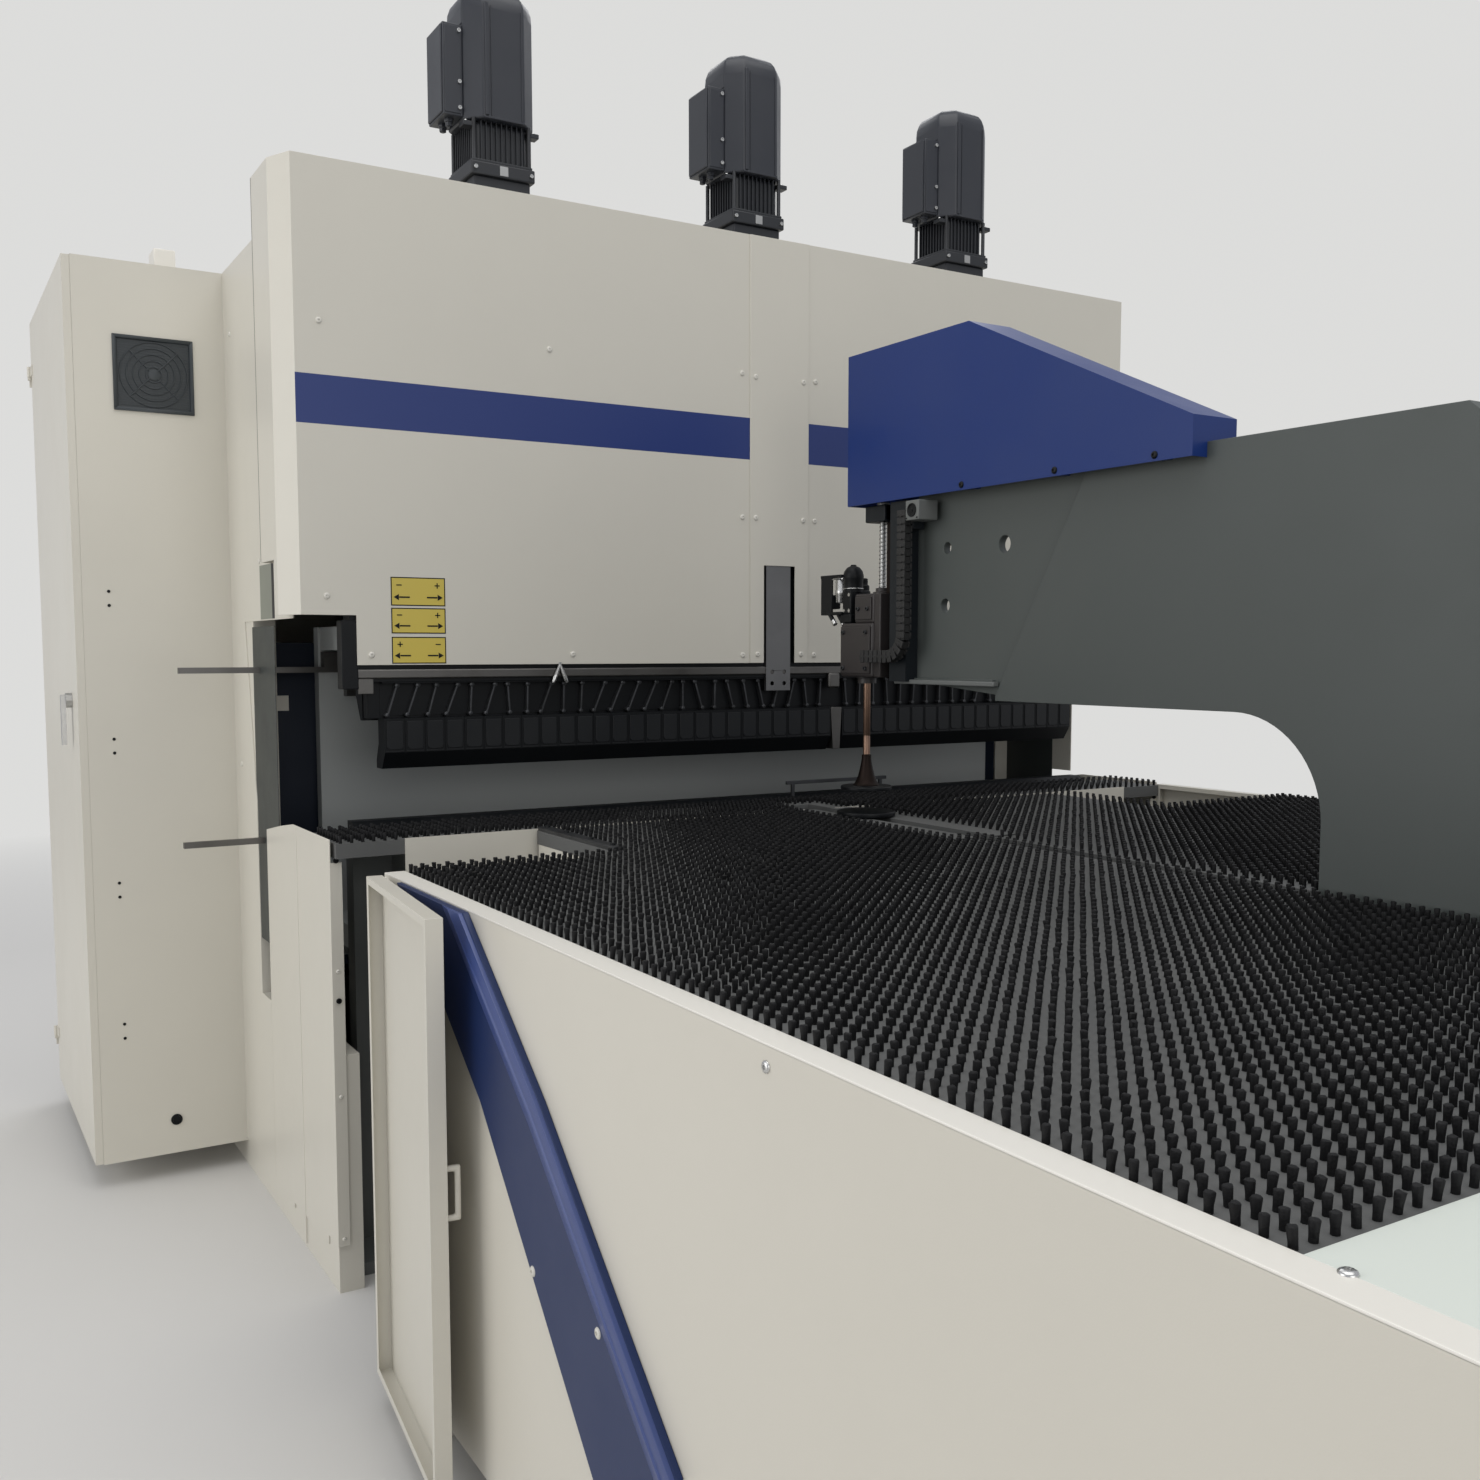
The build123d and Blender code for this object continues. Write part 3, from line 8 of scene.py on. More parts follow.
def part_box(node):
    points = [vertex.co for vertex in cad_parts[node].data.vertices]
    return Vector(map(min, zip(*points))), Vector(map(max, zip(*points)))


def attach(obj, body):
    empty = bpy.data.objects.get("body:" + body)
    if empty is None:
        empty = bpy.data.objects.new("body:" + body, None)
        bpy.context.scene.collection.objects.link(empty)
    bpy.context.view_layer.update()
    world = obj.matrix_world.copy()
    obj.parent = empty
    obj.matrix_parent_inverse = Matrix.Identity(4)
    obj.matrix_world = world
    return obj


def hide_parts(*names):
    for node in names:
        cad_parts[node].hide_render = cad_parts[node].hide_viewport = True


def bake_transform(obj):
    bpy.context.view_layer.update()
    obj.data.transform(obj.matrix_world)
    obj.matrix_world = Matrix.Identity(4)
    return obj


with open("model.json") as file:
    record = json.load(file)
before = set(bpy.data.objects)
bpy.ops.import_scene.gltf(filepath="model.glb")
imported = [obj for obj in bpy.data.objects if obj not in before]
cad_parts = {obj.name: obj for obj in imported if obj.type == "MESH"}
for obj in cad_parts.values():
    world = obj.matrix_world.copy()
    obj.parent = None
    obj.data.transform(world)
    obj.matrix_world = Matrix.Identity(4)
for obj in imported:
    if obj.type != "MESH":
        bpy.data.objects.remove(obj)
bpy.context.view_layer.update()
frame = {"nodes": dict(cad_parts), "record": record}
nodes = frame["nodes"]
spread = np.random.default_rng(11)
finishes = {}


# small helpers around bpy.ops

def dropSelection():
    if bpy.context.object and bpy.context.object.mode != "OBJECT":
        bpy.ops.object.mode_set(mode="OBJECT")
    bpy.ops.object.select_all(action="DESELECT")


def pick(*pieces):
    dropSelection()
    for piece in pieces:
        piece.select_set(True)
    bpy.context.view_layer.objects.active = pieces[0]


def settle(piece):
    pick(piece)
    bpy.ops.object.transform_apply(location=True, rotation=True, scale=True)


def toEdit(action="DESELECT", kind=None):
    bpy.ops.object.mode_set(mode="EDIT")
    if kind:
        bpy.ops.mesh.select_mode(type=kind)
    bpy.ops.mesh.select_all(action=action)


def toObject():
    bpy.ops.object.mode_set(mode="OBJECT")


def applyModifier(piece, modifier):
    pick(piece)
    bpy.ops.object.modifier_apply(modifier=modifier.name)


def softenEdges(piece, width, segments=2, angle=35):
    bevel = piece.modifiers.new("bevel", "BEVEL")
    bevel.width = width
    bevel.segments = segments
    bevel.limit_method = "ANGLE"
    bevel.angle_limit = math.radians(angle)
    applyModifier(piece, bevel)


def smoothShade(piece, angle=35):
    pick(piece)
    bpy.ops.object.shade_smooth_by_angle(angle=math.radians(angle))


def flattenFaces(piece, area=0.0):
    # broad faces stay flat beside their rounded edges
    for face in piece.data.polygons:
        if face.area > area if area else max(abs(n) for n in face.normal) > 0.9999:
            face.use_smooth = False


def pickFaces(piece, wanted):
    # leaves only the wanted faces selected, in edit mode
    pick(piece)
    toEdit(kind="FACE")
    toObject()
    for face in piece.data.polygons:
        face.select = wanted(face.center, face.normal)
    bpy.ops.object.mode_set(mode="EDIT")


def bevelSome(piece, wanted, width, segments=1):
    # cuts only the edges whose two ends pass the test
    pick(piece)
    toEdit(kind="EDGE")
    toObject()
    points = piece.data.vertices
    for edge in piece.data.edges:
        edge.select = wanted(*(points[i].co for i in edge.vertices))
    bpy.ops.object.mode_set(mode="EDIT")
    bpy.ops.mesh.bevel(offset=width, segments=segments)
    toObject()


def growSelection(rise, scale, height, centreY=0.0):
    # extrudes what is selected upwards and sizes the new end
    bpy.ops.mesh.extrude_region_move(TRANSFORM_OT_translate={"value": (0, 0, rise)})
    bpy.ops.transform.resize(value=(scale, scale, 1), center_override=(0, centreY, height))


def unifyNormals(piece, merge=0.0):
    pick(piece)
    toEdit("SELECT")
    if merge:
        bpy.ops.mesh.remove_doubles(threshold=merge)
    bpy.ops.mesh.normals_make_consistent(inside=False)
    toObject()


def block(name, low, high, edge=0.0, segments=2):
    # a bar or plate between two corners, with its edges rounded
    dropSelection()
    centre = [(a + b) / 2 for a, b in zip(low, high)]
    bpy.ops.mesh.primitive_cube_add(size=1, location=centre)
    piece = bpy.context.object
    piece.name = name
    piece.scale = [abs(b - a) for a, b in zip(low, high)]
    settle(piece)
    if edge > 0:
        softenEdges(piece, edge, segments)
        smoothShade(piece)
        flattenFaces(piece)
    return piece


def mirrored(name, low, high, edge=0.0, segments=2):
    # the same bar on both halves of the machine
    return [block(name, (s * low[0], *low[1:]), (s * high[0], *high[1:]), edge, segments) for s in (-1, 1)]


def rod(name, start, end, radius, corners):
    # a round bar from one point to another
    dropSelection()
    a = Vector(start)
    b = Vector(end)
    bpy.ops.mesh.primitive_cylinder_add(vertices=corners, radius=radius, depth=(b - a).length)
    piece = bpy.context.object
    piece.name = name
    piece.rotation_euler = (b - a).to_track_quat("Z", "Y").to_euler()
    piece.location = (a + b) / 2
    settle(piece)
    smoothShade(piece, 40)
    return piece


def facingTurn(axis):
    return Vector((0, 0, 1)).rotation_difference(Vector(axis)).to_matrix().to_4x4()


def turned(name, foot, axis, rings, corners=24, angle=40):
    # a round part: each ring is a radius and a height above the foot, along the axis
    dropSelection()
    bpy.ops.mesh.primitive_circle_add(vertices=corners, radius=rings[0][0], fill_type="NGON")
    piece = bpy.context.object
    piece.name = name
    piece.location.z = rings[0][1]
    settle(piece)
    toEdit("SELECT")
    for (wide, low), (nextWide, high) in zip(rings, rings[1:]):
        growSelection(high - low, nextWide / wide, high)
    bpy.ops.mesh.select_all(action="SELECT")
    bpy.ops.mesh.normals_make_consistent(inside=False)
    toObject()
    piece.data.transform(Matrix.Translation(foot) @ facingTurn(axis))
    smoothShade(piece, angle)
    return piece


def hoop(name, centre, axis, radius, thick, corners, around):
    # a round wire ring
    dropSelection()
    bpy.ops.mesh.primitive_torus_add(
        major_radius=radius, minor_radius=thick, major_segments=corners, minor_segments=around
    )
    piece = bpy.context.object
    piece.name = name
    turn = Vector(axis).to_track_quat("Z", "Y").to_matrix().to_4x4()
    piece.data.transform(Matrix.Translation(centre) @ turn)
    smoothShade(piece, 60)
    return piece


def weld(name, pieces):
    # joins pieces into one object that keeps the first one's materials
    pick(*pieces)
    if len(pieces) > 1:
        bpy.ops.object.join()
    piece = bpy.context.object
    piece.name = name
    return piece


def twinOf(piece, turn):
    # a copy with its own mesh, moved and turned
    twin = piece.copy()
    twin.data = piece.data.copy()
    bpy.context.collection.objects.link(twin)
    twin.data.transform(turn)
    return twin


def paintPiece(piece, finish):
    piece.data.materials.clear()
    piece.data.materials.append(finishes[finish])
    return piece


def finished(name, pieces, finish, body, stands=()):
    # joins what belongs together, paints it, and says what it rides on and stands for
    joined = weld(name, pieces)
    paintPiece(joined, finish)
    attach(joined, body)
    if stands:
        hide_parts(*stands)


domeRings = [(1.0, 0.0), (1.0, 0.3), (0.9, 0.68), (0.66, 0.93), (0.4, 1.0), (0.36, 1.0), (0.32, 0.5)]
capRings = [(1.0, 0.0), (1.0, 0.85), (0.92, 1.0), (0.56, 1.0), (0.52, 0.45)]
plugRings = [(1.0, 0.0), (1.0, 1.0), (0.72, 1.0), (0.66, 0.2)]


def fastener(rings, radius, tall, corners=12):
    return turned("fastener", (0, 0, 0), (0, 0, 1), [(radius * a, tall * b) for a, b in rings], corners)


def fixAll(name, piece, places, finish, body, stands=()):
    # one modelled part set on each place, turned to face outwards
    copies = [twinOf(piece, Matrix.Translation(spot) @ facingTurn(facing)) for spot, facing in places]
    bpy.data.objects.remove(piece)
    finished(name, copies, finish, body, stands)


# shader groups that several finishes share

def addNode(tree, kind, values=None, operation=None):
    node = tree.nodes.new("ShaderNode" + kind)
    if operation:
        node.operation = operation
    for label, value in (values or {}).items():
        node.inputs[label].default_value = value
    return node


def colourMix(tree, share, first):
    # the first colour, and where the share is high the one that is wired or set as B
    mix = addNode(tree, "Mix")
    mix.data_type = "RGBA"
    tree.links.new(share, mix.inputs["Factor"])
    tree.links.new(first, mix.inputs["A"])
    return mix


def buildGroup(name, cloud, patchEdges, fine, roughGain, height, brushed):
    # a base colour under patches of another, and a fine relief
    # brushed metal draws the relief out, and its gloss follows it
    group = bpy.data.node_groups.new(name, "ShaderNodeTree")
    wire = group.links.new
    sockets = {
        "INPUT": {"Color": ["Base", "Over"], "Float": ["Amount", "Gloss", "Relief"], "Vector": ["Stretch"]},
        "OUTPUT": {"Color": ["Color"], "Float": ["Roughness"], "Vector": ["Normal"]},
    }
    for way, kinds in sockets.items():
        for kind, labels in kinds.items():
            for label in labels:
                group.interface.new_socket(name=label, in_out=way, socket_type="NodeSocket" + kind)
    start = group.nodes.new("NodeGroupInput").outputs
    end = group.nodes.new("NodeGroupOutput").inputs
    coords = addNode(group, "TexCoord").outputs["Object"]
    clouds = addNode(group, "TexNoise", cloud)
    wire(coords, clouds.inputs["Vector"])
    patch = addNode(group, "ValToRGB")
    for element, position in zip(patch.color_ramp.elements, patchEdges):
        element.position = position
    wire(clouds.outputs["Fac"], patch.inputs["Fac"])
    share = addNode(group, "Math", operation="MULTIPLY")
    wire(patch.outputs["Color"], share.inputs[0])
    wire(start["Amount"], share.inputs[1])
    mix = colourMix(group, share.outputs[0], start["Base"])
    wire(start["Over"], mix.inputs["B"])
    wire(mix.outputs["Result"], end["Color"])
    relief = addNode(group, "TexNoise", fine)
    if brushed:
        pull = addNode(group, "VectorMath", operation="MULTIPLY")
        wire(coords, pull.inputs[0])
        wire(start["Stretch"], pull.inputs[1])
        wire(pull.outputs["Vector"], relief.inputs["Vector"])
    else:
        wire(coords, relief.inputs["Vector"])
    rough = addNode(group, "Math", {1: roughGain}, "MULTIPLY_ADD")
    wire(relief.outputs["Fac"] if brushed else share.outputs[0], rough.inputs[0])
    wire(start["Gloss"], rough.inputs[2])
    wire(rough.outputs[0], end["Roughness"])
    bump = addNode(group, "Bump", {"Distance": height})
    wire(start["Relief"], bump.inputs["Strength"])
    wire(relief.outputs["Fac"], bump.inputs["Height"])
    wire(bump.outputs["Normal"], end["Normal"])
    return group


dust = {"Scale": 2.3, "Detail": 6, "Roughness": 0.62}
coatGroup = buildGroup("powderCoat", dust, (0.42, 0.78), {"Scale": 420, "Detail": 2}, 0.9, 0.0006, False)
stains = {"Scale": 9, "Detail": 7}
metalGroup = buildGroup("metalGrain", stains, (0.45, 0.72), {"Scale": 14, "Detail": 5}, 0.3, 0.0004, True)


def newMaterial(name, metallic=0.0, specular=0.5):
    material = bpy.data.materials.new(name)
    material.use_nodes = True
    shader = material.node_tree.nodes["Principled BSDF"]
    shader.inputs["Metallic"].default_value = metallic
    shader.inputs["Specular IOR Level"].default_value = specular
    finishes[name] = material
    return material.node_tree, shader


def groupMaterial(name, group, base, over, values, metallic=0.0, specular=0.5):
    tree, shader = newMaterial(name, metallic, specular)
    finish = addNode(tree, "Group")
    finish.node_tree = group
    for label, value in {"Base": (*base, 1), "Over": (*over, 1), **values}.items():
        finish.inputs[label].default_value = value
    for label, end in {"Color": "Base Color", "Roughness": "Roughness", "Normal": "Normal"}.items():
        tree.links.new(finish.outputs[label], shader.inputs[end])


# coats: paint, dust, how much dust, gloss, and where they differ from the usual, peel and specular level
usualPeel, usualSpecular = 0.12, 0.5
coats = {
    "panelWhite": ((0.6, 0.575, 0.505), (0.42, 0.4, 0.36), 0.1, 0.36),
    "screwPaint": ((0.64, 0.62, 0.56), (0.4, 0.38, 0.34), 0.15, 0.24, 0.05),
    "railCream": ((0.64, 0.61, 0.535), (0.44, 0.42, 0.37), 0.08, 0.34),
    "plateWhite": ((0.69, 0.73, 0.67), (0.5, 0.52, 0.48), 0.08, 0.34),
    "capWhite": ((0.78, 0.755, 0.69), (0.55, 0.53, 0.48), 0.08, 0.32),
    "royalBlue": ((0.006, 0.028, 0.158), (0.035, 0.055, 0.14), 0.15, 0.34, usualPeel, 0.4),
    # painted highlight: the brace's blue made lighter for the light the folded flange catches
    "foldBlueLit": ((0.04, 0.066, 0.21), (0.06, 0.08, 0.18), 0.2, 0.3),
    "braceNavy": ((0.008, 0.022, 0.088), (0.03, 0.04, 0.09), 0.15, 0.34, usualPeel, 0.35),
    "throatNavy": ((0.004, 0.009, 0.022), (0.012, 0.016, 0.026), 0.3, 0.5, usualPeel, 0.3),
    "armGrey": ((0.066, 0.076, 0.072), (0.12, 0.125, 0.115), 0.22, 0.46, 0.2),
    "ledgeGrey": ((0.13, 0.138, 0.134), (0.2, 0.2, 0.19), 0.3, 0.42),
    "wallGrey": ((0.43, 0.448, 0.438), (0.48, 0.48, 0.47), 0.2, 0.5),
    "columnDark": ((0.006, 0.009, 0.012), (0.02, 0.024, 0.026), 0.2, 0.42, 0.2, 0.3),
    "frameGreen": ((0.026, 0.032, 0.03), (0.05, 0.055, 0.05), 0.2, 0.46),
    "headBrown": ((0.026, 0.022, 0.022), (0.07, 0.06, 0.055), 0.3, 0.38, 0.1),
    "castGrey": ((0.115, 0.125, 0.122), (0.2, 0.19, 0.18), 0.3, 0.5),
    "motorBlack": ((0.014, 0.016, 0.02), (0.06, 0.06, 0.065), 0.22, 0.4, 0.3),
    "cowlBlack": ((0.024, 0.027, 0.035), (0.07, 0.07, 0.075), 0.2, 0.34, 0.2),
    "guardBlack": ((0.028, 0.035, 0.04), (0.06, 0.066, 0.07), 0.3, 0.42, 0.2),
    "toolBlack": ((0.002, 0.0028, 0.0038), (0.012, 0.013, 0.014), 0.2, 0.4, 0.1, 0.25),
    "padBlack": ((0.0042, 0.0052, 0.0065), (0.02, 0.021, 0.022), 0.25, 0.36, 0.1, 0.35),
    "plasticBlack": ((0.012, 0.012, 0.012), (0.05, 0.05, 0.05), 0.3, 0.55, 0.4),
    "boardDark": ((0.088, 0.09, 0.088), (0.16, 0.16, 0.155), 0.45, 0.6, 0.5),
    "bristleBlack": ((0.003, 0.003, 0.0036), (0.016, 0.016, 0.017), 0.3, 0.55, 1.0, 0.25),
    "plateYellow": ((0.56, 0.44, 0.075), (0.4, 0.33, 0.1), 0.2, 0.3, 0.02),
    # painted shade: the side cover's surface in the shade between the cover and the side, seen through the
    # notch
    "notchShadeGreen": ((0.215, 0.225, 0.185), (0.2, 0.2, 0.17), 0.2, 0.5),
    # painted shadow: the shade along the cover side's rear edge
    "edgeShadeGrey": ((0.2, 0.19, 0.17), (0.2, 0.2, 0.17), 0.2, 0.6),
}
for name, (paint, dust, amount, gloss, *others) in coats.items():
    peel, specular = others + [usualPeel, usualSpecular][len(others):]
    values = {"Amount": amount, "Gloss": gloss, "Relief": peel}
    groupMaterial(name, coatGroup, paint, dust, values, specular=specular)

# metals: colour and stain, then what differs from a plain brushed steel
usualMetal = {"Amount": 0.3, "Gloss": 0.25, "Relief": 0.25, "Stretch": (3, 60, 60)}
metals = {
    "brushedSteel": ((0.46, 0.46, 0.45), (0.3, 0.28, 0.26), {}),
    "brightSteel": ((0.62, 0.62, 0.61), (0.3, 0.28, 0.26), {"Amount": 0.12, "Gloss": 0.12, "Relief": 0.1}),
    "guideSteel": ((0.2, 0.2, 0.2), (0.1, 0.1, 0.1), {"Amount": 0.3, "Gloss": 0.24}),
    "railSteel": (
        (0.15, 0.145, 0.138), (0.06, 0.055, 0.05),
        {"Amount": 0.4, "Gloss": 0.26, "Stretch": (2, 60, 60)},
    ),
    "leverSteel": ((0.06, 0.062, 0.066), (0.02, 0.02, 0.02), {"Amount": 0.5, "Gloss": 0.28}),
    "copperRod": (
        (0.3, 0.19, 0.135), (0.1, 0.07, 0.06),
        {"Amount": 0.5, "Gloss": 0.26, "Stretch": (60, 60, 4)},
    ),
    "bellBrown": (
        (0.022, 0.016, 0.014), (0.02, 0.016, 0.015),
        {"Amount": 0.6, "Gloss": 0.34, "Stretch": (60, 60, 4)},
    ),
}
for name, (metal, stain, own) in metals.items():
    metallic = 0.7 if name == "leverSteel" else 1.0
    groupMaterial(name, metalGroup, metal, stain, {**usualMetal, **own}, metallic)
print("materials ready")


def stripedPanel(name, height, halfHeight, frontY, halfDepth, colour):
    # the white panel with its painted band, only on the flat front
    material = finishes["panelWhite"].copy()
    material.name = name
    finishes[name] = material
    tree = material.node_tree
    finish = [n for n in tree.nodes if n.type == "GROUP"][0]
    split = addNode(tree, "SeparateXYZ")
    tree.links.new(addNode(tree, "TexCoord").outputs["Object"], split.inputs[0])
    both = addNode(tree, "Math", operation="MULTIPLY")
    for n, (axis, centre, half) in enumerate((("Z", height, halfHeight), ("Y", frontY, halfDepth))):
        near = addNode(tree, "Math", {1: centre, 2: half}, "COMPARE")
        tree.links.new(split.outputs[axis], near.inputs[0])
        tree.links.new(near.outputs[0], both.inputs[n])
    mix = colourMix(tree, both.outputs[0], finish.outputs["Color"])
    mix.inputs["B"].default_value = (*colour, 1)
    tree.links.new(mix.outputs["Result"], tree.nodes["Principled BSDF"].inputs["Base Color"])


stripedPanel("panelStriped", 2.034, 0.056, -0.0745, 0.002, (0.011, 0.03, 0.155))
nodesByFinish = {
    "panelStriped": "upper_cover_left upper_cover_right",
    "panelWhite":
        "upper_cover_centre side_cover_left side_cover_right rear_cover side_frame_left side_frame_right "
        "crown_beam lower_panel_left lower_panel_right cabinet_shell cabinet_door strip_front_board "
        "table_frame access_door_left door_handle_left access_door_right door_handle_right",
    "castGrey": "base_frame arm_carriage",
    "brushedSteel": "cabinet_handle arm_rails door_hinges",
    "guardBlack": "vent_grille",
    "boardDark": "slot_plates strip_brush_board brush_board_left brush_board_right",
    "plasticBlack": "cabinet_fan energy_chain",
    "motorBlack": "drive_motors motor_cowls",
    "toolBlack":
        "ram_beam tool_rail tool_segments_left tool_segments_right upper_blade lower_blade lower_tool "
        "head_carriage valve_unit lower_disc",
    "railSteel": "tool_bar centre_tool side_rails",
    "leverSteel": "tool_levers sheet_stop",
    "guideSteel": "centre_guide_bar",
    "throatNavy": "bending_slides",
    "wallGrey": "bending_frame",
    "railCream": "table_side_left table_side_right",
    "plateWhite": "front_plate",
    "braceNavy": "table_braces",
    "armGrey": "arm_plate",
    "royalBlue": "arm_cover",
    "columnDark": "head_column",
    "brightSteel": "lift_screw",
    "copperRod": "press_foot",
}
finishOf = {node: finish for finish, names in nodesByFinish.items() for node in names.split()}
for node, finish in finishOf.items():
    for place in nodes[node].material_slots:
        place.material = finishes[finish]
print("frame painted")


# brush boards: a slab and one tuft, repeated in rows

brush = {
    "pitch": 0.025, "firstX": 0.0375, "firstY": -2.7325, "rimX": 1.2852, "stripPitch": 0.023,
    "stripX": -1.2875, "stripRightX": 0.0875, "stripY": -0.276, "stripRearY": -0.138,
    "boardLow": 1.0, "boardTop": 1.033, "tall": 0.018, "lean": 0.00075, "ragged": 0.00035, "uneven": 0.0011,
}
tuft = {"sides": 8, "radius": 0.0038, "root": 0.006, "splayTop": 0.0168, "splay": 1.22, "taper": 0.8}


def makeTuft():
    # a bundle of bristles: narrow at the foot, splayed and ragged at the tip
    dropSelection()
    root = tuft["root"]
    bpy.ops.mesh.primitive_cylinder_add(
        vertices=tuft["sides"], radius=tuft["radius"], depth=root, end_fill_type="NOTHING",
        location=(0, 0, root / 2)
    )
    piece = bpy.context.object
    settle(piece)
    toEdit()
    toObject()
    for edge in piece.data.edges:
        if all(piece.data.vertices[i].co.z > root / 2 for i in edge.vertices):
            edge.select = True
    bpy.ops.object.mode_set(mode="EDIT")
    growSelection(tuft["splayTop"] - root, tuft["splay"], tuft["splayTop"])
    growSelection(brush["tall"] - tuft["splayTop"], tuft["taper"], brush["tall"])
    bpy.ops.mesh.edge_face_add()
    bpy.ops.mesh.poke()
    toObject()
    return piece


def tuftField(name, firstX, countX, stepX, firstY, countY, stepY):
    piece = makeTuft()
    perTuft = len(piece.data.vertices)
    baseZ = brush["boardTop"]
    piece.location = (firstX, firstY, baseZ)
    settle(piece)
    for count, step in ((countX, (stepX, 0, 0)), (countY, (0, stepY, 0))):
        row = piece.modifiers.new("row", "ARRAY")
        row.count = count
        row.use_relative_offset = False
        row.use_constant_offset = True
        row.constant_offset_displace = step
        applyModifier(piece, row)
    spots = np.empty(len(piece.data.vertices) * 3)
    piece.data.vertices.foreach_get("co", spots)
    spots = spots.reshape(-1, perTuft, 3)
    number = spots.shape[0]
    lift = (spots[:, :, 2:3] - baseZ) / brush["tall"]
    spots[:, :, 0:2] += lift * spread.normal(0, brush["lean"], (number, 1, 2))
    spots[:, :, 0:2] += spread.normal(0, brush["ragged"], (number, perTuft, 2)) * (lift > 0.6)
    spots[:, :, 2] -= spread.random((number, perTuft)) * brush["uneven"] * (lift[:, :, 0] > 0.9)
    piece.data.vertices.foreach_set("co", spots.ravel())
    piece.data.update()
    piece.name = name
    smoothShade(piece, 60)
    paintPiece(piece, "bristleBlack")
    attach(piece, "machine")


def brushSlab(name, boxes, node, edge=0.0):
    # each box is the x and y of two corners
    low, top = brush["boardLow"], brush["boardTop"]
    slabs = [block("slab", (x0, y0, low), (x1, y1, top), edge) for x0, y0, x1, y1 in boxes]
    finished(name, slabs, "boardDark", "machine", [node])


for side, word in ((-1, "Left"), (1, "Right")):
    # the wide front, the narrow rear, and the strip along the arm's slot that ends at the bare plates
    boxes = [(0.09, -2.745, 1.293, -0.745), (0.09, -0.745, 0.825, -0.29), (0.025, -2.745, 0.09, -0.945)]
    boxes = [(side * x0, y0, side * x1, y1) for x0, y0, x1, y1 in boxes]
    brushSlab("boardSlab" + word, boxes, "brush_board_" + word.lower(), 0.0015)
    step = side * brush["pitch"]
    x0 = side * brush["firstX"]
    y0 = brush["firstY"]
    y1 = y0 + 49 * brush["pitch"]
    parts = [
        ("tuftsSlot", x0, 3, y0, 72), ("tuftsInner", x0 + 3 * step, 29, y0, 49),
        ("tuftsCentre", x0 + 3 * step, 28, y1, 49),
        ("tuftsEdge", x0 + 31 * step, 1, y1, 33 if side < 0 else 49),
        ("tuftsOuter", x0 + 32 * step, 18, y0, 80), ("tuftsRim", side * brush["rimX"], 1, y0, 80),
    ]
    for name, startX, countX, startY, countY in parts:
        tuftField(name + word, startX, countX, step, startY, countY, brush["pitch"])

stripBoxes = [(-1.3, -0.283, -0.045, -0.16), (0.045, -0.283, 1.3, -0.16), (-1.3, -0.16, 1.3, -0.06)]
brushSlab("stripSlab", stripBoxes, "strip_brush_board")
parts = [
    ("tuftsStripLeft", brush["stripX"], 49, brush["stripY"], 6),
    ("tuftsStripRight", brush["stripRightX"], 49, brush["stripY"], 6),
    ("tuftsStripRear", brush["stripX"], 104, brush["stripRearY"], 3),
]
for name, startX, countX, startY, countY in parts:
    tuftField(name, startX, countX, brush["pitch"], startY, countY, brush["stripPitch"])
print("brushes planted")


# solids whose sharp edges are broken, as on folded sheet and machined blocks

bodyOf = {node: body for body, names in frame["record"]["behaviour"]["bodies"].items() for node in names}


def brokenEdges(node, width):
    # the solid's own shape, softened
    piece = nodes[node].copy()
    piece.data = nodes[node].data.copy()
    for key in list(piece.keys()):
        del piece[key]
    bpy.context.collection.objects.link(piece)
    piece.parent = None
    piece.matrix_world = Matrix.Identity(4)
    piece.name = "soft_" + node
    pick(piece)
    toEdit("SELECT")
    bpy.ops.mesh.remove_doubles(threshold=0.00002)
    bpy.ops.mesh.dissolve_limited(angle_limit=math.radians(1))
    toObject()
    if node.startswith("lower_panel"):
        # the sheet hangs clear of the floor
        for point in piece.data.vertices:
            point.co.z = max(point.co.z, 0.088 if point.co.y < 0 else 0.062)
    if node.startswith("access_door"):
        # a hair thinner than the solid, so that it folds back without touching
        pickFaces(piece, lambda centre, normal: True)
        bpy.ops.transform.shrink_fatten(value=-0.0003)
        toObject()
    softenEdges(piece, width, angle=30)
    smoothShade(piece, 40)
    flattenFaces(piece, 0.003)
    paintPiece(piece, finishOf[node])
    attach(piece, bodyOf[node])
    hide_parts(node)


softEdged = {
    0.0008: "access_door_left access_door_right",
    0.001:
        "upper_cover_centre cabinet_shell lower_panel_left lower_panel_right lower_disc sheet_stop "
        "centre_tool",
    0.0012: "upper_cover_left upper_cover_right arm_cover",
    0.0015: "arm_plate centre_guide_bar",
    0.002: "front_plate table_braces",
    0.0025: "table_side_left table_side_right",
    0.0038: "door_handle_left door_handle_right",
}
for width, names in softEdged.items():
    for node in names.split():
        brokenEdges(node, width)
print("edges broken")


# screws of the covers, as found on the front, mirrored where the hood hides them

coverScrews = {
    "radius": 0.0075, "tall": 0.0034,
    "halves": [
        (1.254, 2.211), (0.684, 2.208), (0.12, 2.207), (0.119, 1.822),
        (1.25, 1.586), (1.148, 1.449), (0.628, 1.45), (0.118, 1.447),
    ],
    "strip": [(0.078, 2.201), (0.078, 1.822), (0.072, 1.449)],
    "sides": [(0.203, 2.075), (0.329, 1.685), (0.6, 2.3), (0.6, 1.15)],
    "rearRows": [0.3, 1.0, 1.7, 2.3], "rearColumns": [-1.26, -0.45, 0.45, 1.26],
}


def outward(spots, side, axis, at):
    # places on a face of the machine that looks along x or y, from (y, z) or (x, z)
    if axis == "x":
        return [((side * at, y, z), (side, 0, 0)) for y, z in spots]
    return [((x, at, z), (0, side, 0)) for x, z in spots]


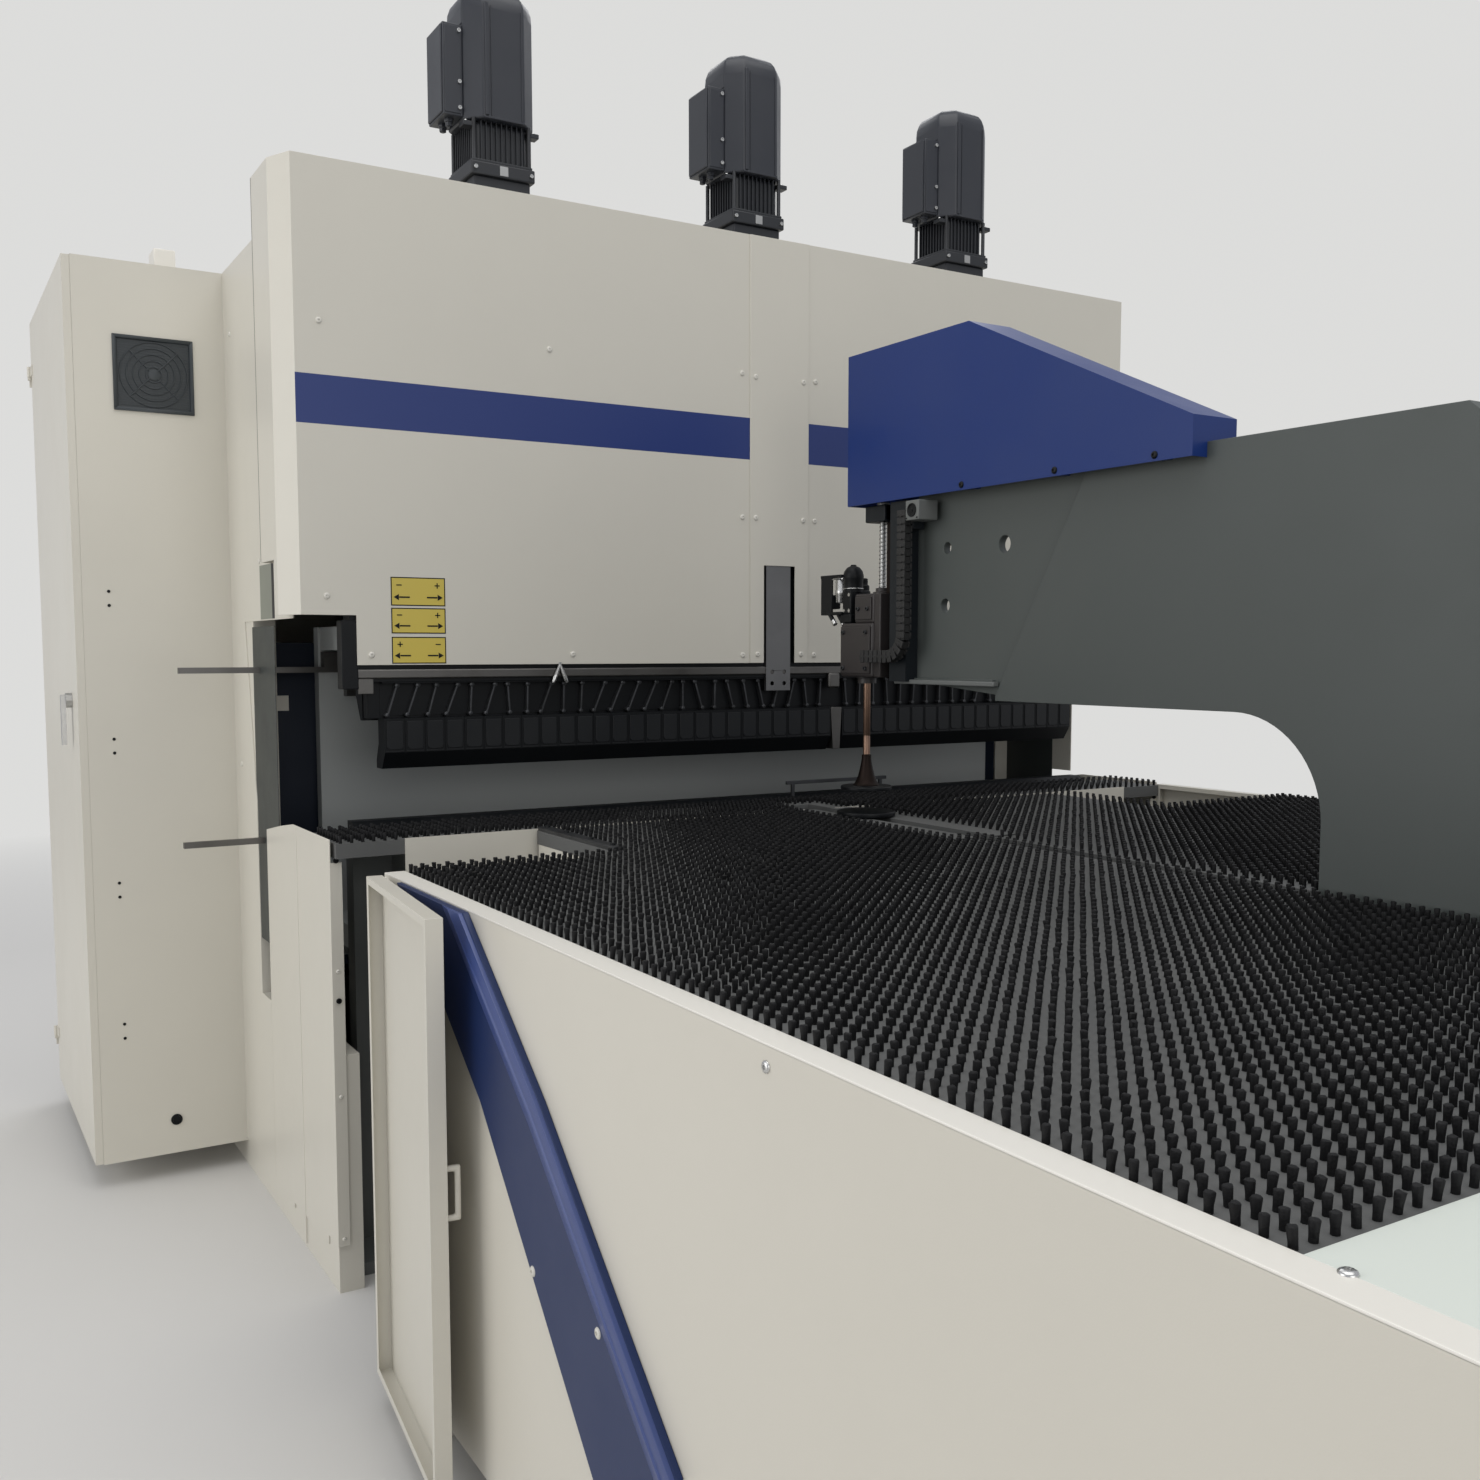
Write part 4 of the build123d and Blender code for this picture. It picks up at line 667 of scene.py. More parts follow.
def bothSides(spots, axis, at):
    # the same on both halves of the machine
    if axis == "x":
        return outward(spots, -1, "x", at) + outward(spots, 1, "x", at)
    return outward([(s * x, z) for s in (-1, 1) for x, z in spots], -1, "y", at)


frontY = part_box("upper_cover_left")[0].y
sideX = abs(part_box("side_cover_left")[0].x)
rearSpots = [(x, z) for x in coverScrews["rearColumns"] for z in coverScrews["rearRows"]]
places = bothSides(coverScrews["halves"], "y", frontY)
places += bothSides(coverScrews["strip"], "y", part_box("upper_cover_centre")[0].y)
places += bothSides(coverScrews["sides"], "x", sideX)
places += outward(rearSpots, 1, "y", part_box("rear_cover")[1].y)
screw = fastener(domeRings, coverScrews["radius"], coverScrews["tall"])
fixAll("coverScrews", screw, places, "screwPaint", "machine")


# plates that show which way each axis runs: a border, two signs and two arrows, no letters

arrowPlates = {
    "lowX": -1.099, "highX": -0.965, "thick": 0.0008, "border": 0.0026, "long": 0.013, "thin": 0.0026,
    "signShift": 0.047, "arrowShift": 0.034, "headShift": 0.052,
    "rows": [(1.566, 1.634, 1), (1.5, 1.561, 1), (1.428, 1.492, -1)],
}


def signBar(x, z, long, high, y):
    return block("bar", (x - long / 2, y - 0.0004, z - high / 2), (x + long / 2, y + 0.0002, z + high / 2))


def arrowHead(x, z, side, y):
    dropSelection()
    bpy.ops.mesh.primitive_cylinder_add(vertices=3, radius=0.0085, depth=0.0006)
    piece = bpy.context.object
    turn = Matrix.Rotation(math.radians(90), 4, "X") @ Matrix.Rotation(math.radians(-90 * side), 4, "Z")
    piece.data.transform(Matrix.Translation((x, y - 0.0001, z)) @ turn)
    return piece


x0, x1 = arrowPlates["lowX"], arrowPlates["highX"]
edge, long, thin = arrowPlates["border"], arrowPlates["long"], arrowPlates["thin"]
middle = (x0 + x1) / 2
y = frontY - arrowPlates["thick"]
faces = []
marks = []
for low, high, sign in arrowPlates["rows"]:
    marks.append(block("rim", (x0, frontY - 0.0006, low), (x1, frontY, high), 0.0002))
    faces.append(block("face", (x0 + edge, y, low + edge), (x1 - edge, frontY - 0.0002, high - edge)))
    signZ = low + (high - low) * 0.72
    arrowZ = low + (high - low) * 0.3
    for side in (-1, 1):
        signX = middle + side * arrowPlates["signShift"]
        marks.append(signBar(signX, signZ, long, thin, y))
        if side == sign:
            marks.append(signBar(signX, signZ, thin, long, y))
        marks.append(signBar(middle + side * arrowPlates["arrowShift"], arrowZ, 0.026, 0.0036, y))
        marks.append(arrowHead(middle + side * arrowPlates["headShift"], arrowZ, side, y))
finished("axisPlates", faces, "plateYellow", "machine")
finished("axisSigns", marks, "toolBlack", "machine")
print("cover dressed")


# control cabinet: guarded fan opening, row of small holes, grommet, box on the roof

ventGuard = {
    "recess": 0.003, "rim": 0.01, "rings": [0.02, 0.036, 0.052, 0.068, 0.084], "wire": 0.0017, "slats": 26,
    "spokeIn": 0.012, "spokeOut": 0.086, "spoke": 0.0018, "hub": [(0.014, 0), (0.014, 0.002), (0.01, 0.003)],
}
low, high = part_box("vent_grille")
rim = block("rim", low, high, 0.0015)
pickFaces(rim, lambda c, n: n.y < -0.9)
bpy.ops.mesh.inset(thickness=ventGuard["rim"])
bpy.ops.mesh.extrude_region_move(TRANSFORM_OT_translate={"value": (0, ventGuard["recess"], 0)})
toObject()
parts = [rim]
middle = (low + high) / 2
hub = Vector((middle.x, low.y + 0.0012, middle.z))
for radius in ventGuard["rings"]:
    parts.append(hoop("ring", hub, (0, 1, 0), radius, ventGuard["wire"], 48, 6))
for quarter in range(4):
    angle = math.radians(45 + 90 * quarter)
    reach = Vector((math.cos(angle), 0, math.sin(angle)))
    ends = [hub + reach * ventGuard[end] for end in ("spokeIn", "spokeOut")]
    parts.append(rod("spoke", *ends, ventGuard["spoke"], 8))
parts.append(turned("hub", hub + Vector((0, 0.001, 0)), (0, -1, 0), ventGuard["hub"], 20))
inner = ventGuard["rim"]
x0, x1, y0, y1 = low.x + inner, high.x - inner, low.y + 0.0016, low.y + 0.0034
pitch = (high.z - low.z - 2 * inner) / ventGuard["slats"]
for n in range(ventGuard["slats"] + 1):
    z = low.z + inner + pitch * n
    parts.append(block("slat", (x0, y0, z - 0.0008), (x1, y1, z + 0.0008)))
finished("ventGuard", parts, "guardBlack", "machine", ["vent_grille"])

cabinetHoles = {
    "x": -1.621, "z": [1.615, 1.578, 1.224, 1.187, 0.837, 0.799, 0.451, 0.412], "radius": 0.0042,
    "grommet": (-1.497, 0.165), "grommetRadius": 0.015,
}
cabinetLow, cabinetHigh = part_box("cabinet_shell")
places = outward([(cabinetHoles["x"], z) for z in cabinetHoles["z"]], -1, "y", cabinetLow.y)
plug = fastener(plugRings, cabinetHoles["radius"], 0.0012)
fixAll("cabinetPlugs", plug, places, "toolBlack", "machine")
grommet = fastener(plugRings, cabinetHoles["grommetRadius"], 0.0035, 24)
places = outward([cabinetHoles["grommet"]], -1, "y", cabinetLow.y)
fixAll("cabinetGrommet", grommet, places, "toolBlack", "machine")
roofZ = cabinetHigh.z
roofBox = block("roofBox", (-1.475, 0.72, roofZ - 0.0005), (-1.42, 0.8, roofZ + 0.055), 0.003)
finished("cabinetRoofBox", [roofBox], "capWhite", "machine")
print("cabinet dressed")


# drive motors: finned body on a flange, cowl with a round top, terminal box with its glands

motor = {
    "at": [-0.755, 0.0, 0.755], "y": 0.12, "foot": 0.075, "footLow": 2.47, "flange": 0.085, "flangeLow": 2.64,
    "bodyLow": 2.673, "bodyTop": 2.775, "core": 0.069, "collar": 0.08, "cowl": 0.094, "chamfer": 0.041,
    "fin": 0.0034, "finOut": 0.075, "finLow": 2.68, "finPitch": 0.0135, "finCount": 9, "shoulder": 3.04,
    "dome": [(3.06, 0.985), (3.076, 0.93), (3.089, 0.83), (3.098, 0.69), (3.103, 0.5), (3.105, 0.25)],
    "gland": [(0.012, 0), (0.012, 0.008), (0.009, 0.01), (0.009, 0.018), (0.006, 0.02)], "tie": 0.0055,
}


def motorBlock(name, halfX, halfY, low, high, edge, segments=2, shiftX=0.0, shiftY=0.0):
    # a block about the motor's axis, or shifted from it
    y = motor["y"] + shiftY
    return block(name, (shiftX - halfX, y - halfY, low), (shiftX + halfX, y + halfY, high), edge, segments)


def motorBody():
    y = motor["y"]
    m = motor
    pieces = [
        motorBlock("foot", m["foot"], m["foot"], m["footLow"], m["flangeLow"], 0.003),
        motorBlock("flange", m["flange"], m["flange"], m["flangeLow"], m["bodyLow"], 0.004),
        motorBlock("core", m["core"], m["core"], m["bodyLow"], m["bodyTop"], 0.012, 3),
        motorBlock("collar", m["collar"], m["collar"], m["bodyLow"], m["finLow"], 0.002),
    ]
    for n in range(m["finCount"]):
        shift = (n - (m["finCount"] - 1) / 2) * m["finPitch"]
        half, out = m["fin"] / 2, m["finOut"]
        pieces.append(motorBlock("fin", half, out, m["finLow"], m["bodyTop"], 0.0006, 1, shiftX=shift))
        pieces.append(motorBlock("fin", out, half, m["finLow"], m["bodyTop"], 0.0006, 1, shiftY=shift))
    pieces += mirrored("lug", (0.07, y - 0.075, 2.756), (0.101, y - 0.045, 2.768), 0.002)
    return weld("motorBody", pieces)


def motorCowl():
    y = motor["y"]
    half = motor["cowl"]
    cowl = motorBlock("cowl", half, half, motor["bodyTop"], motor["shoulder"], 0.0)
    bevelSome(cowl, lambda a, b: abs(a.z - b.z) > 0.1, motor["chamfer"])
    pickFaces(cowl, lambda c, n: n.z > 0.9)
    height, share = motor["shoulder"], 1.0
    for nextHeight, nextShare in motor["dome"]:
        growSelection(nextHeight - height, nextShare / share, nextHeight, y)
        height, share = nextHeight, nextShare
    toObject()
    softenEdges(cowl, 0.005, 3, 38)
    smoothShade(cowl, 30)
    flattenFaces(cowl, 0.006)
    front = y - half
    pieces = [
        cowl,
        block("ridge", (-0.05, front - 0.004, 2.782), (-0.04, front + 0.002, 3.052), 0.0015),
        block("ridgeThin", (-0.034, front - 0.0018, 2.782), (-0.0315, front + 0.002, 3.046), 0.0006),
        block("ridgeRight", (0.046, front - 0.002, 2.782), (0.05, front + 0.002, 3.046), 0.0008),
        block("hem", (-0.055, front - 0.0015, 2.776), (0.055, front + 0.002, 2.781), 0.0006),
        block("seam", (-half - 0.0015, y - 0.053, 3.004), (-half + 0.002, y + 0.053, 3.008), 0.0006),
        block("box", (-0.144, y - 0.055, 2.78), (-half + 0.001, y + 0.055, 3.0), 0.003),
        block("lid", (-0.148, y - 0.05, 2.785), (-0.143, y + 0.05, 2.995), 0.002),
        block("lidSide", (-0.14, y - 0.057, 2.786), (-0.098, y - 0.054, 2.994), 0.0012),
    ]
    for shift in (-0.022, 0.022):
        pieces.append(turned("gland", (-0.119, y + shift, 2.781), (0, 0, -1), motor["gland"], 6))
    return weld("motorCowl", pieces)


motorPlaces = [((x, 0, 0), (0, 0, 1)) for x in motor["at"]]
fixAll("motorBodies", motorBody(), motorPlaces, "motorBlack", "machine", ["drive_motors"])
fixAll("motorCowls", motorCowl(), motorPlaces, "cowlBlack", "machine", ["motor_cowls"])
places = []
for x in motor["at"]:
    places += outward([(x - 0.103, z) for z in (2.8, 2.862, 2.984)], -1, "y", motor["y"] - 0.057)
    places += [((x + s * 0.09, motor["y"] - 0.06, 2.768), (0, 0, 1)) for s in (-1, 1)]
    places += outward([(x + s * 0.074, 2.6565) for s in (-1, 1)], -1, "y", motor["y"] - motor["flange"])
fixAll("motorBolts", fastener(capRings, 0.0052, 0.005), places, "brightSteel", "machine")
out = motor["core"] + 0.004
corners = [(x + a * out, motor["y"] + b * out) for x in motor["at"] for a in (-1, 1) for b in (-1, 1)]
low, high = motor["bodyLow"], motor["bodyTop"] + 0.003
ties = [rod("tie", (*at, low), (*at, high), motor["tie"], 12) for at in corners]
finished("motorTies", ties, "leverSteel", "machine")
y0, y1 = motor["y"] - 0.0858, motor["y"] - 0.0845
tags = [block("tag", (x - 0.01, y0, 2.645), (x + 0.012, y1, 2.668), 0.0004) for x in motor["at"]]
finished("motorTags", tags, "brushedSteel", "machine")
print("motors built")


# blank holder tools: a raised pad on every segment, a nose strip, and the clamping levers

tools = {
    "pitch": 0.05, "left": -1.12, "right": 0.22, "faceY": -0.07,
    "padInset": 0.0055, "padLow": 1.222, "padHigh": 1.29, "padProud": 0.0022, "padRound": 0.009,
    "footInset": 0.0035, "footLow": 1.2165, "footHigh": 1.2195, "footProud": 0.0012,
    "leverFootZ": 1.2985, "leverHeadZ": 1.379, "leverY": -0.045, "leverWide": 0.0046, "leverDeep": 0.016,
    "footLean": 0.012, "headLean": 0.014,
    "knob": [(0.0045, 0), (0.0062, 0.001), (0.0062, 0.017)],
    "pivot": [(0.004, 0), (0.0052, 0.0008), (0.0052, 0.017)],
    "leftLeans": [
        1.0, 1.1, 0.9, 1.2, 0.2, 1.0, -0.2, 0.1, 1.2, 0.1, 0.2, 1.3, 1.4, 1.3, 1.4, 1.2, 0.0, -0.9, 0.1, -0.8,
        -0.6, -0.7, 0.9, 0.8, -0.4, 0.2,
    ],
    "rightLeans": [
        -0.3, 0.1, 0.0, -0.2, 0.1, 0.3, 0.0, 0.1, -0.1, 0.2, 0.9, -0.2, 0.0, 0.1, -0.4, 0.0, 0.2, 0.1,
    ],
}
segments = []
for start, side in (("left", "leftLeans"), ("right", "rightLeans")):
    segments += [(tools[start] + tools["pitch"] * n, lean) for n, lean in enumerate(tools[side])]


def segmentPad():
    # a plate with rounded lower corners, and a narrow foot strip below it
    y, wide, lowZ = tools["faceY"], tools["pitch"], tools["padLow"]
    inset, footInset = tools["padInset"], tools["footInset"]
    pad = block("pad", (inset, y - tools["padProud"], lowZ), (wide - inset, y + 0.001, tools["padHigh"]))
    bevelSome(pad, lambda a, b: abs(a.y - b.y) > 0.002 and max(a.z, b.z) < lowZ + 0.001, tools["padRound"], 4)
    softenEdges(pad, 0.0009, 2, 40)
    low = (footInset, y - tools["footProud"], tools["footLow"])
    foot = block("foot", low, (wide - footInset, y + 0.001, tools["footHigh"]), 0.0004)
    return weld("segmentPad", [pad, foot])


padPlaces = [((x, 0, 0), (0, 0, 1)) for x, lean in segments]
fixAll("segmentPads", segmentPad(), padPlaces, "padBlack", "blank_holder")

levers = []
half, deep = tools["leverWide"] / 2, tools["leverDeep"] / 2
for x, lean in segments:
    middle = x + tools["pitch"] / 2
    foot = Vector((middle - lean * tools["footLean"], tools["leverY"], tools["leverFootZ"]))
    head = Vector((middle + lean * tools["headLean"], tools["leverY"], tools["leverHeadZ"]))
    bar = block("lever", (-half, -deep, 0), (half, deep, (head - foot).length), 0.001)
    bar.data.transform(Matrix.Translation(foot) @ facingTurn(head - foot))
    levers += [
        bar,
        turned("knob", head + Vector((0, -deep - 0.001, -0.003)), (0, 1, 0), tools["knob"], 12),
        turned("pivot", foot + Vector((0, -deep - 0.0012, 0.006)), (0, 1, 0), tools["pivot"], 10),
    ]
finished("clampLevers", levers, "leverSteel", "blank_holder", ["tool_levers"])

low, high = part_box("tool_levers")
backing = [
    block("backing", (low.x, -0.0368, 1.302), (high.x, -0.035, 1.38), 0.0006),
    block("ledge", (low.x, -0.06, 1.3805), (high.x, -0.035, 1.3838), 0.0006),
]
low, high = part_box("tool_bar")
backing.append(block("holder", (low.x + 0.002, -0.062, low.z), (high.x - 0.002, -0.012, high.z), 0.001))
backing += mirrored("stop", (1.179, -0.07, 1.368), (1.218, -0.03, 1.53), 0.002)
flat = [
    block("flat", (low.x, low.y, 1.392), (high.x, high.y, 1.4155), 0.0045, 3),
    *mirrored("tab", (1.142, -0.064, 1.356), (1.178, -0.056, 1.4), 0.0015),
    block("wedgeHead", (0.172, -0.074, 1.352), (0.21, -0.056, 1.396), 0.006, 3),
]
finished("leverBacking", backing, "toolBlack", "blank_holder")
finished("clampBar", flat, "railSteel", "blank_holder", ["tool_bar"])
print("tools built")


# two small air nozzles under the cover

nozzle = {
    "top": (-0.665, -0.0745, 1.424), "ends": [(-0.6855, -0.076, 1.3765), (-0.6465, -0.076, 1.3765)],
    "long": 0.03,
    "pipe": [(0.003, 0), (0.0036, 0.004), (0.0052, 0.02), (0.0052, 0.03)],
    "tip": [(0.0058, 0), (0.0058, 0.012), (0.0036, 0.02)],
}
top = Vector(nozzle["top"])
pipes = []
tips = []
for end in nozzle["ends"]:
    run = Vector(end) - top
    pipes.append(turned("nozzle", top, run, nozzle["pipe"], 12))
    tips.append(turned("tip", top + run.normalized() * nozzle["long"], run, nozzle["tip"], 12))
pipes.append(block("hook", (-0.669, -0.0765, 1.418), (-0.661, -0.0715, 1.43), 0.001))
finished("airNozzles", pipes, "brushedSteel", "machine")
finished("nozzleTips", tips, "brightSteel", "machine")


# manipulator: screws of the hood, ledge, junction box, screw thread, chain, head and foot

hood = {"screwY": [-0.914, -1.206, -1.472], "screwZ": 1.829, "radius": 0.0075}
places = bothSides([(y, hood["screwZ"]) for y in hood["screwY"]], "x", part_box("arm_cover")[1].x)
screw = fastener(domeRings, hood["radius"], 0.004)
fixAll("hoodScrews", screw, places, "toolBlack", "manipulator")
ledge = block("ledge", (-0.034, -1.0, 1.379), (-0.018, -0.64, 1.39), 0.0025)
finished("armLedge", [ledge], "ledgeGrey", "manipulator")

junction = {
    "low": (-0.079, -0.786, 1.762), "high": (-0.0215, -0.737, 1.808),
    "socket": [
        (0.016, -0.002), (0.016, 0.002), (0.013, 0.002), (0.012, 0.0002), (0.004, 0.0002), (0.003, 0.002),
    ],
    "stud": [(0.0022, -0.001), (0.0022, 0.0012)],
}
shell = block("shell", junction["low"], junction["high"], 0.0025)
finished("junctionBox", [shell], "ledgeGrey", "manipulator")
x = junction["low"][0]
y, z = [(a + b) / 2 for a, b in zip(junction["low"], junction["high"])][1:]
socket = [turned("socket", (x, y, z), (-1, 0, 0), junction["socket"], 20)]
for shift in (-0.019, 0.019):
    socket.append(turned("stud", (x, y + shift, z - 0.018), (-1, 0, 0), junction["stud"], 8))
finished("junctionSocket", socket, "toolBlack", "manipulator")

liftThread = {
    "y": -0.548, "low": 1.44, "high": 1.774, "top": 1.825, "core": 0.0082, "crest": 0.01, "ridge": 0.0021,
    "pitch": 0.01, "steps": 16, "collarZ": 1.8153, "collar": [(0.016, 0), (0.016, 0.008), (0.0145, 0.0097)],
}


def threadedScrew():
    # a helical ridge wound round a thinner core, with plain ends and a collar above the bearing
    t = liftThread
    core = rod("core", (0, t["y"], t["low"]), (0, t["y"], t["top"]), t["core"], 20)
    dropSelection()
    bpy.ops.mesh.primitive_circle_add(
        vertices=6, radius=t["ridge"], fill_type="NGON",
        location=(t["crest"] - t["ridge"], 0, 0), rotation=(math.radians(90), 0, 0)
    )
    ridge = bpy.context.object
    settle(ridge)
    wind = ridge.modifiers.new("wind", "SCREW")
    wind.axis = "Z"
    wind.angle = math.radians(360)
    wind.screw_offset = t["pitch"]
    wind.iterations = int((t["high"] - t["low"]) / t["pitch"])
    wind.steps = t["steps"]
    wind.render_steps = t["steps"]
    applyModifier(ridge, wind)
    unifyNormals(ridge, 0.00001)
    ridge.data.transform(Matrix.Translation((0, t["y"], t["low"] + 0.002)))
    smoothShade(ridge, 60)
    return [core, ridge, turned("collar", (0, t["y"], t["collarZ"]), (0, 0, 1), t["collar"])]


finished("liftScrewThread", threadedScrew(), "brushedSteel", "lift_screw", ["lift_screw"])

chain = {
    "lowX": -0.079, "highX": -0.055, "y": -0.72, "bend": 0.055, "lowZ": 1.5, "topZ": 1.79, "endY": -0.56,
    "thick": 0.03, "pitch": 0.0175, "long": 0.0145, "plate": 0.0045,
    "pin": [(0.0042, 0), (0.0048, 0.0006), (0.0048, 0.026)],
}


def chainLink():
    # one link: two side plates with a waist between them and a pin at its end
    half, long, plate = chain["thick"] / 2, chain["long"] / 2, chain["plate"]
    wide = (chain["highX"] - chain["lowX"]) / 2
    low, high = (0.003 - wide, 0.003 - half, 0.002 - long), (wide - 0.003, half - 0.003, long + 0.004)
    pieces = [
        block("plate", (-wide, -half, -long), (plate - wide, half, long), 0.0012),
        block("plate", (wide - plate, -half, -long), (wide, half, long), 0.0012),
        block("waist", low, high, 0.0008),
        turned("pin", (-wide - 0.0006, 0, long - 0.003), (1, 0, 0), chain["pin"], 10),
    ]
    return weld("chainLink", pieces)


def chainPath():
    # the places and directions of the links, down the straight run and round the bend
    spots = []
    bend, startY, lowZ = chain["bend"], chain["y"], chain["lowZ"]
    down = chain["topZ"] - lowZ
    quarter = math.pi / 2 * bend
    total = down + quarter + chain["endY"] - startY - bend
    count = int(total / chain["pitch"])
    for n in range(count):
        s = (n + 0.5) * total / count
        if s < down:
            spots.append((startY, chain["topZ"] - s, 0.0))
        elif s < down + quarter:
            turn = (s - down) / bend
            spots.append((startY + bend * (1 - math.cos(turn)), lowZ - bend * math.sin(turn), turn))
        else:
            spots.append((startY + bend + s - down - quarter, lowZ - bend, math.pi / 2))
    return spots


link = chainLink()
middleX = (chain["lowX"] + chain["highX"]) / 2
links = []
for y, z, turn in chainPath():
    links.append(twinOf(link, Matrix.Translation((middleX, y, z)) @ Matrix.Rotation(math.pi + turn, 4, "X")))
bpy.data.objects.remove(link)
chainPiece = paintPiece(weld("chainLinks", links), "plasticBlack")
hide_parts("energy_chain")
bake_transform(chainPiece)

column = {
    "half": 0.045, "rear": -0.7, "front": -0.6, "low": 1.385, "high": 1.815, "chamfer": 0.036,
    "bearing": 1.775, "guide": 0.0095,
}
front, bearing, top = column["front"], column["bearing"], column["high"]
shell = block("column", (-column["half"], column["rear"], column["low"]), (column["half"], front, top))
bevelSome(shell, lambda a, b: abs(a.z - b.z) > 0.1 and max(a.y, b.y) > front - 0.001, column["chamfer"])
columnPieces = [
    shell,
    *mirrored("bearing", (0.0115, front, bearing), (0.035, -0.52, top), 0.003),
    block("bearingRear", (-0.03, front, bearing), (0.03, -0.561, top), 0.002),
    block("bearingFront", (-0.03, -0.535, bearing), (0.03, -0.52, top), 0.002),
    block("bracket", (-0.055, -0.735, 1.745), (-0.02, -0.7, 1.785), 0.002),
]
finished("columnShell", columnPieces, "columnDark", "manipulator", ["head_column"])
guide = block("guide", (-column["guide"], front - 0.002, 1.39), (column["guide"], -0.575, bearing), 0.0022)
finished("columnGuide", [guide], "bellBrown", "manipulator")

head = {
    "sideX": 0.05, "plate": 0.005, "boltY": [-0.552, -0.458], "boltZ": [1.415, 1.505],
    "upperY": [-0.552, -0.514], "upperZ": 1.563,
    "nut": [(0.024, 0), (0.024, 0.006), (0.017, 0.008), (0.017, 0.016), (0.0125, 0.017)],
    "bush": [(0.03, 0), (0.03, 0.004), (0.0235, 0.006), (0.0235, 0.0185)],
}
headPlates = [
    block("base", (-0.05, -0.574, 1.393), (0.05, -0.44, 1.528), 0.006, 3),
    block("cover", (-0.042, -0.441, 1.4), (0.042, -0.4345, 1.52), 0.003),
    block("upper", (-0.046, -0.574, 1.527), (0.046, -0.494, 1.6), 0.005, 3),
    *mirrored("shoe", (0.0155, -0.599, 1.393), (0.045, -0.573, 1.6), 0.003),
    *mirrored("sidePlate", (0.049, -0.568, 1.402), (0.055, -0.446, 1.519), 0.0015),
    block("upperPlate", (-0.05, -0.566, 1.536), (-0.045, -0.5, 1.592), 0.0015),
    turned("nut", (0, -0.548, 1.598), (0, 0, 1), head["nut"]),
    turned("bush", (0, -0.486, 1.395), (0, 0, -1), head["bush"], 28),
]
finished("headPlates", headPlates, "headBrown", "press_head", ["head_carriage"])
bolts = [(y, z) for y in head["boltY"] for z in head["boltZ"]]
places = bothSides(bolts, "x", head["sideX"] + head["plate"])
places += outward([(y, head["upperZ"]) for y in head["upperY"]], -1, "x", head["sideX"])
fixAll("headBolts", fastener(capRings, 0.0055, 0.0048), places, "leverSteel", "press_head")

valve = {
    "coilAt": (-0.02, -0.452, 1.604), "knobAt": (-0.02, -0.452, 1.671), "clampAt": (-0.02, -0.452, 1.616),
    "coil": [
        (0.022, 0), (0.025, 0.003), (0.025, 0.034), (0.0262, 0.036), (0.0262, 0.046), (0.0235, 0.056),
        (0.0165, 0.065), (0.008, 0.069),
    ],
    "knob": [(0.0075, 0), (0.0075, 0.0045), (0.0055, 0.0055)],
    "cap": [(0.014, 0), (0.014, 0.016), (0.01, 0.02), (0.01, 0.034), (0.007, 0.036)],
    "cylinder": [
        (0.013, 0), (0.015, 0.003), (0.015, 0.022), (0.0162, 0.024), (0.0162, 0.032), (0.015, 0.034),
        (0.015, 0.058), (0.011, 0.064),
    ],
    "fitting": [(0.0066, -0.006), (0.0066, 0.006), (0.005, 0.007)],
    "bolt": [(0.0048, -0.001), (0.0048, 0.0012)],
    "bolts": [(-0.466, 1.6), (-0.444, 1.56), (-0.466, 1.56)],
    # each hose: its foot, its fitting's foot, its direction and its length
    "hoses": [
        ((-0.038, -0.412, 1.552), (-0.031, -0.4275, 1.524), (0.25, -0.55, -1), 0.04),
        ((-0.046, -0.382, 1.556), (-0.0435, -0.402, 1.531), (0.1, -0.8, -1), 0.03),
    ],
}
up = (0, 0, 1)
valveBlack = [
    block("foot", (-0.046, -0.476, 1.528), (0.04, -0.43, 1.552), 0.004),
    block("body", (-0.044, -0.474, 1.55), (0.02, -0.436, 1.612), 0.005),
    block("bracket", (-0.05, -0.398, 1.556), (-0.044, -0.35, 1.648), 0.0015),
    block("bracketTop", (-0.05, -0.44, 1.644), (-0.04, -0.348, 1.652), 0.0015),
    block("bracketFoot", (-0.05, -0.44, 1.55), (-0.03, -0.35, 1.558), 0.0015),
    block("plug", (-0.046, -0.39, 1.566), (-0.014, -0.356, 1.602), 0.004),
    turned("coil", valve["coilAt"], up, valve["coil"], 28),
    turned("knob", valve["knobAt"], up, valve["knob"], 14),
    turned("cap", (0.022, -0.44, 1.608), up, valve["cap"], 20),
]
valveSilver = [
    turned("cylinder", (-0.03, -0.414, 1.58), up, valve["cylinder"], 28),
    hoop("clamp", valve["clampAt"], up, 0.0253, 0.0013, 28, 8),
    rod("tube", (-0.047, -0.394, 1.64), (-0.044, -0.44, 1.646), 0.0022, 10),
]
for hoseFoot, fittingFoot, run, long in valve["hoses"]:
    rings = [(0.0055, -0.004), (0.0055, long), (0.0045, long + 0.004)]
    valveBlack.append(turned("hose", hoseFoot, run, rings, 12))
    valveSilver.append(turned("fitting", fittingFoot, run, valve["fitting"], 12))
for y, z in valve["bolts"]:
    valveSilver.append(turned("bolt", (-0.0435, y, z), (-1, 0, 0), valve["bolt"], 6))
finished("valveBody", valveBlack, "toolBlack", "press_head", ["valve_unit"])
finished("valveSteel", valveSilver, "brightSteel", "press_head")

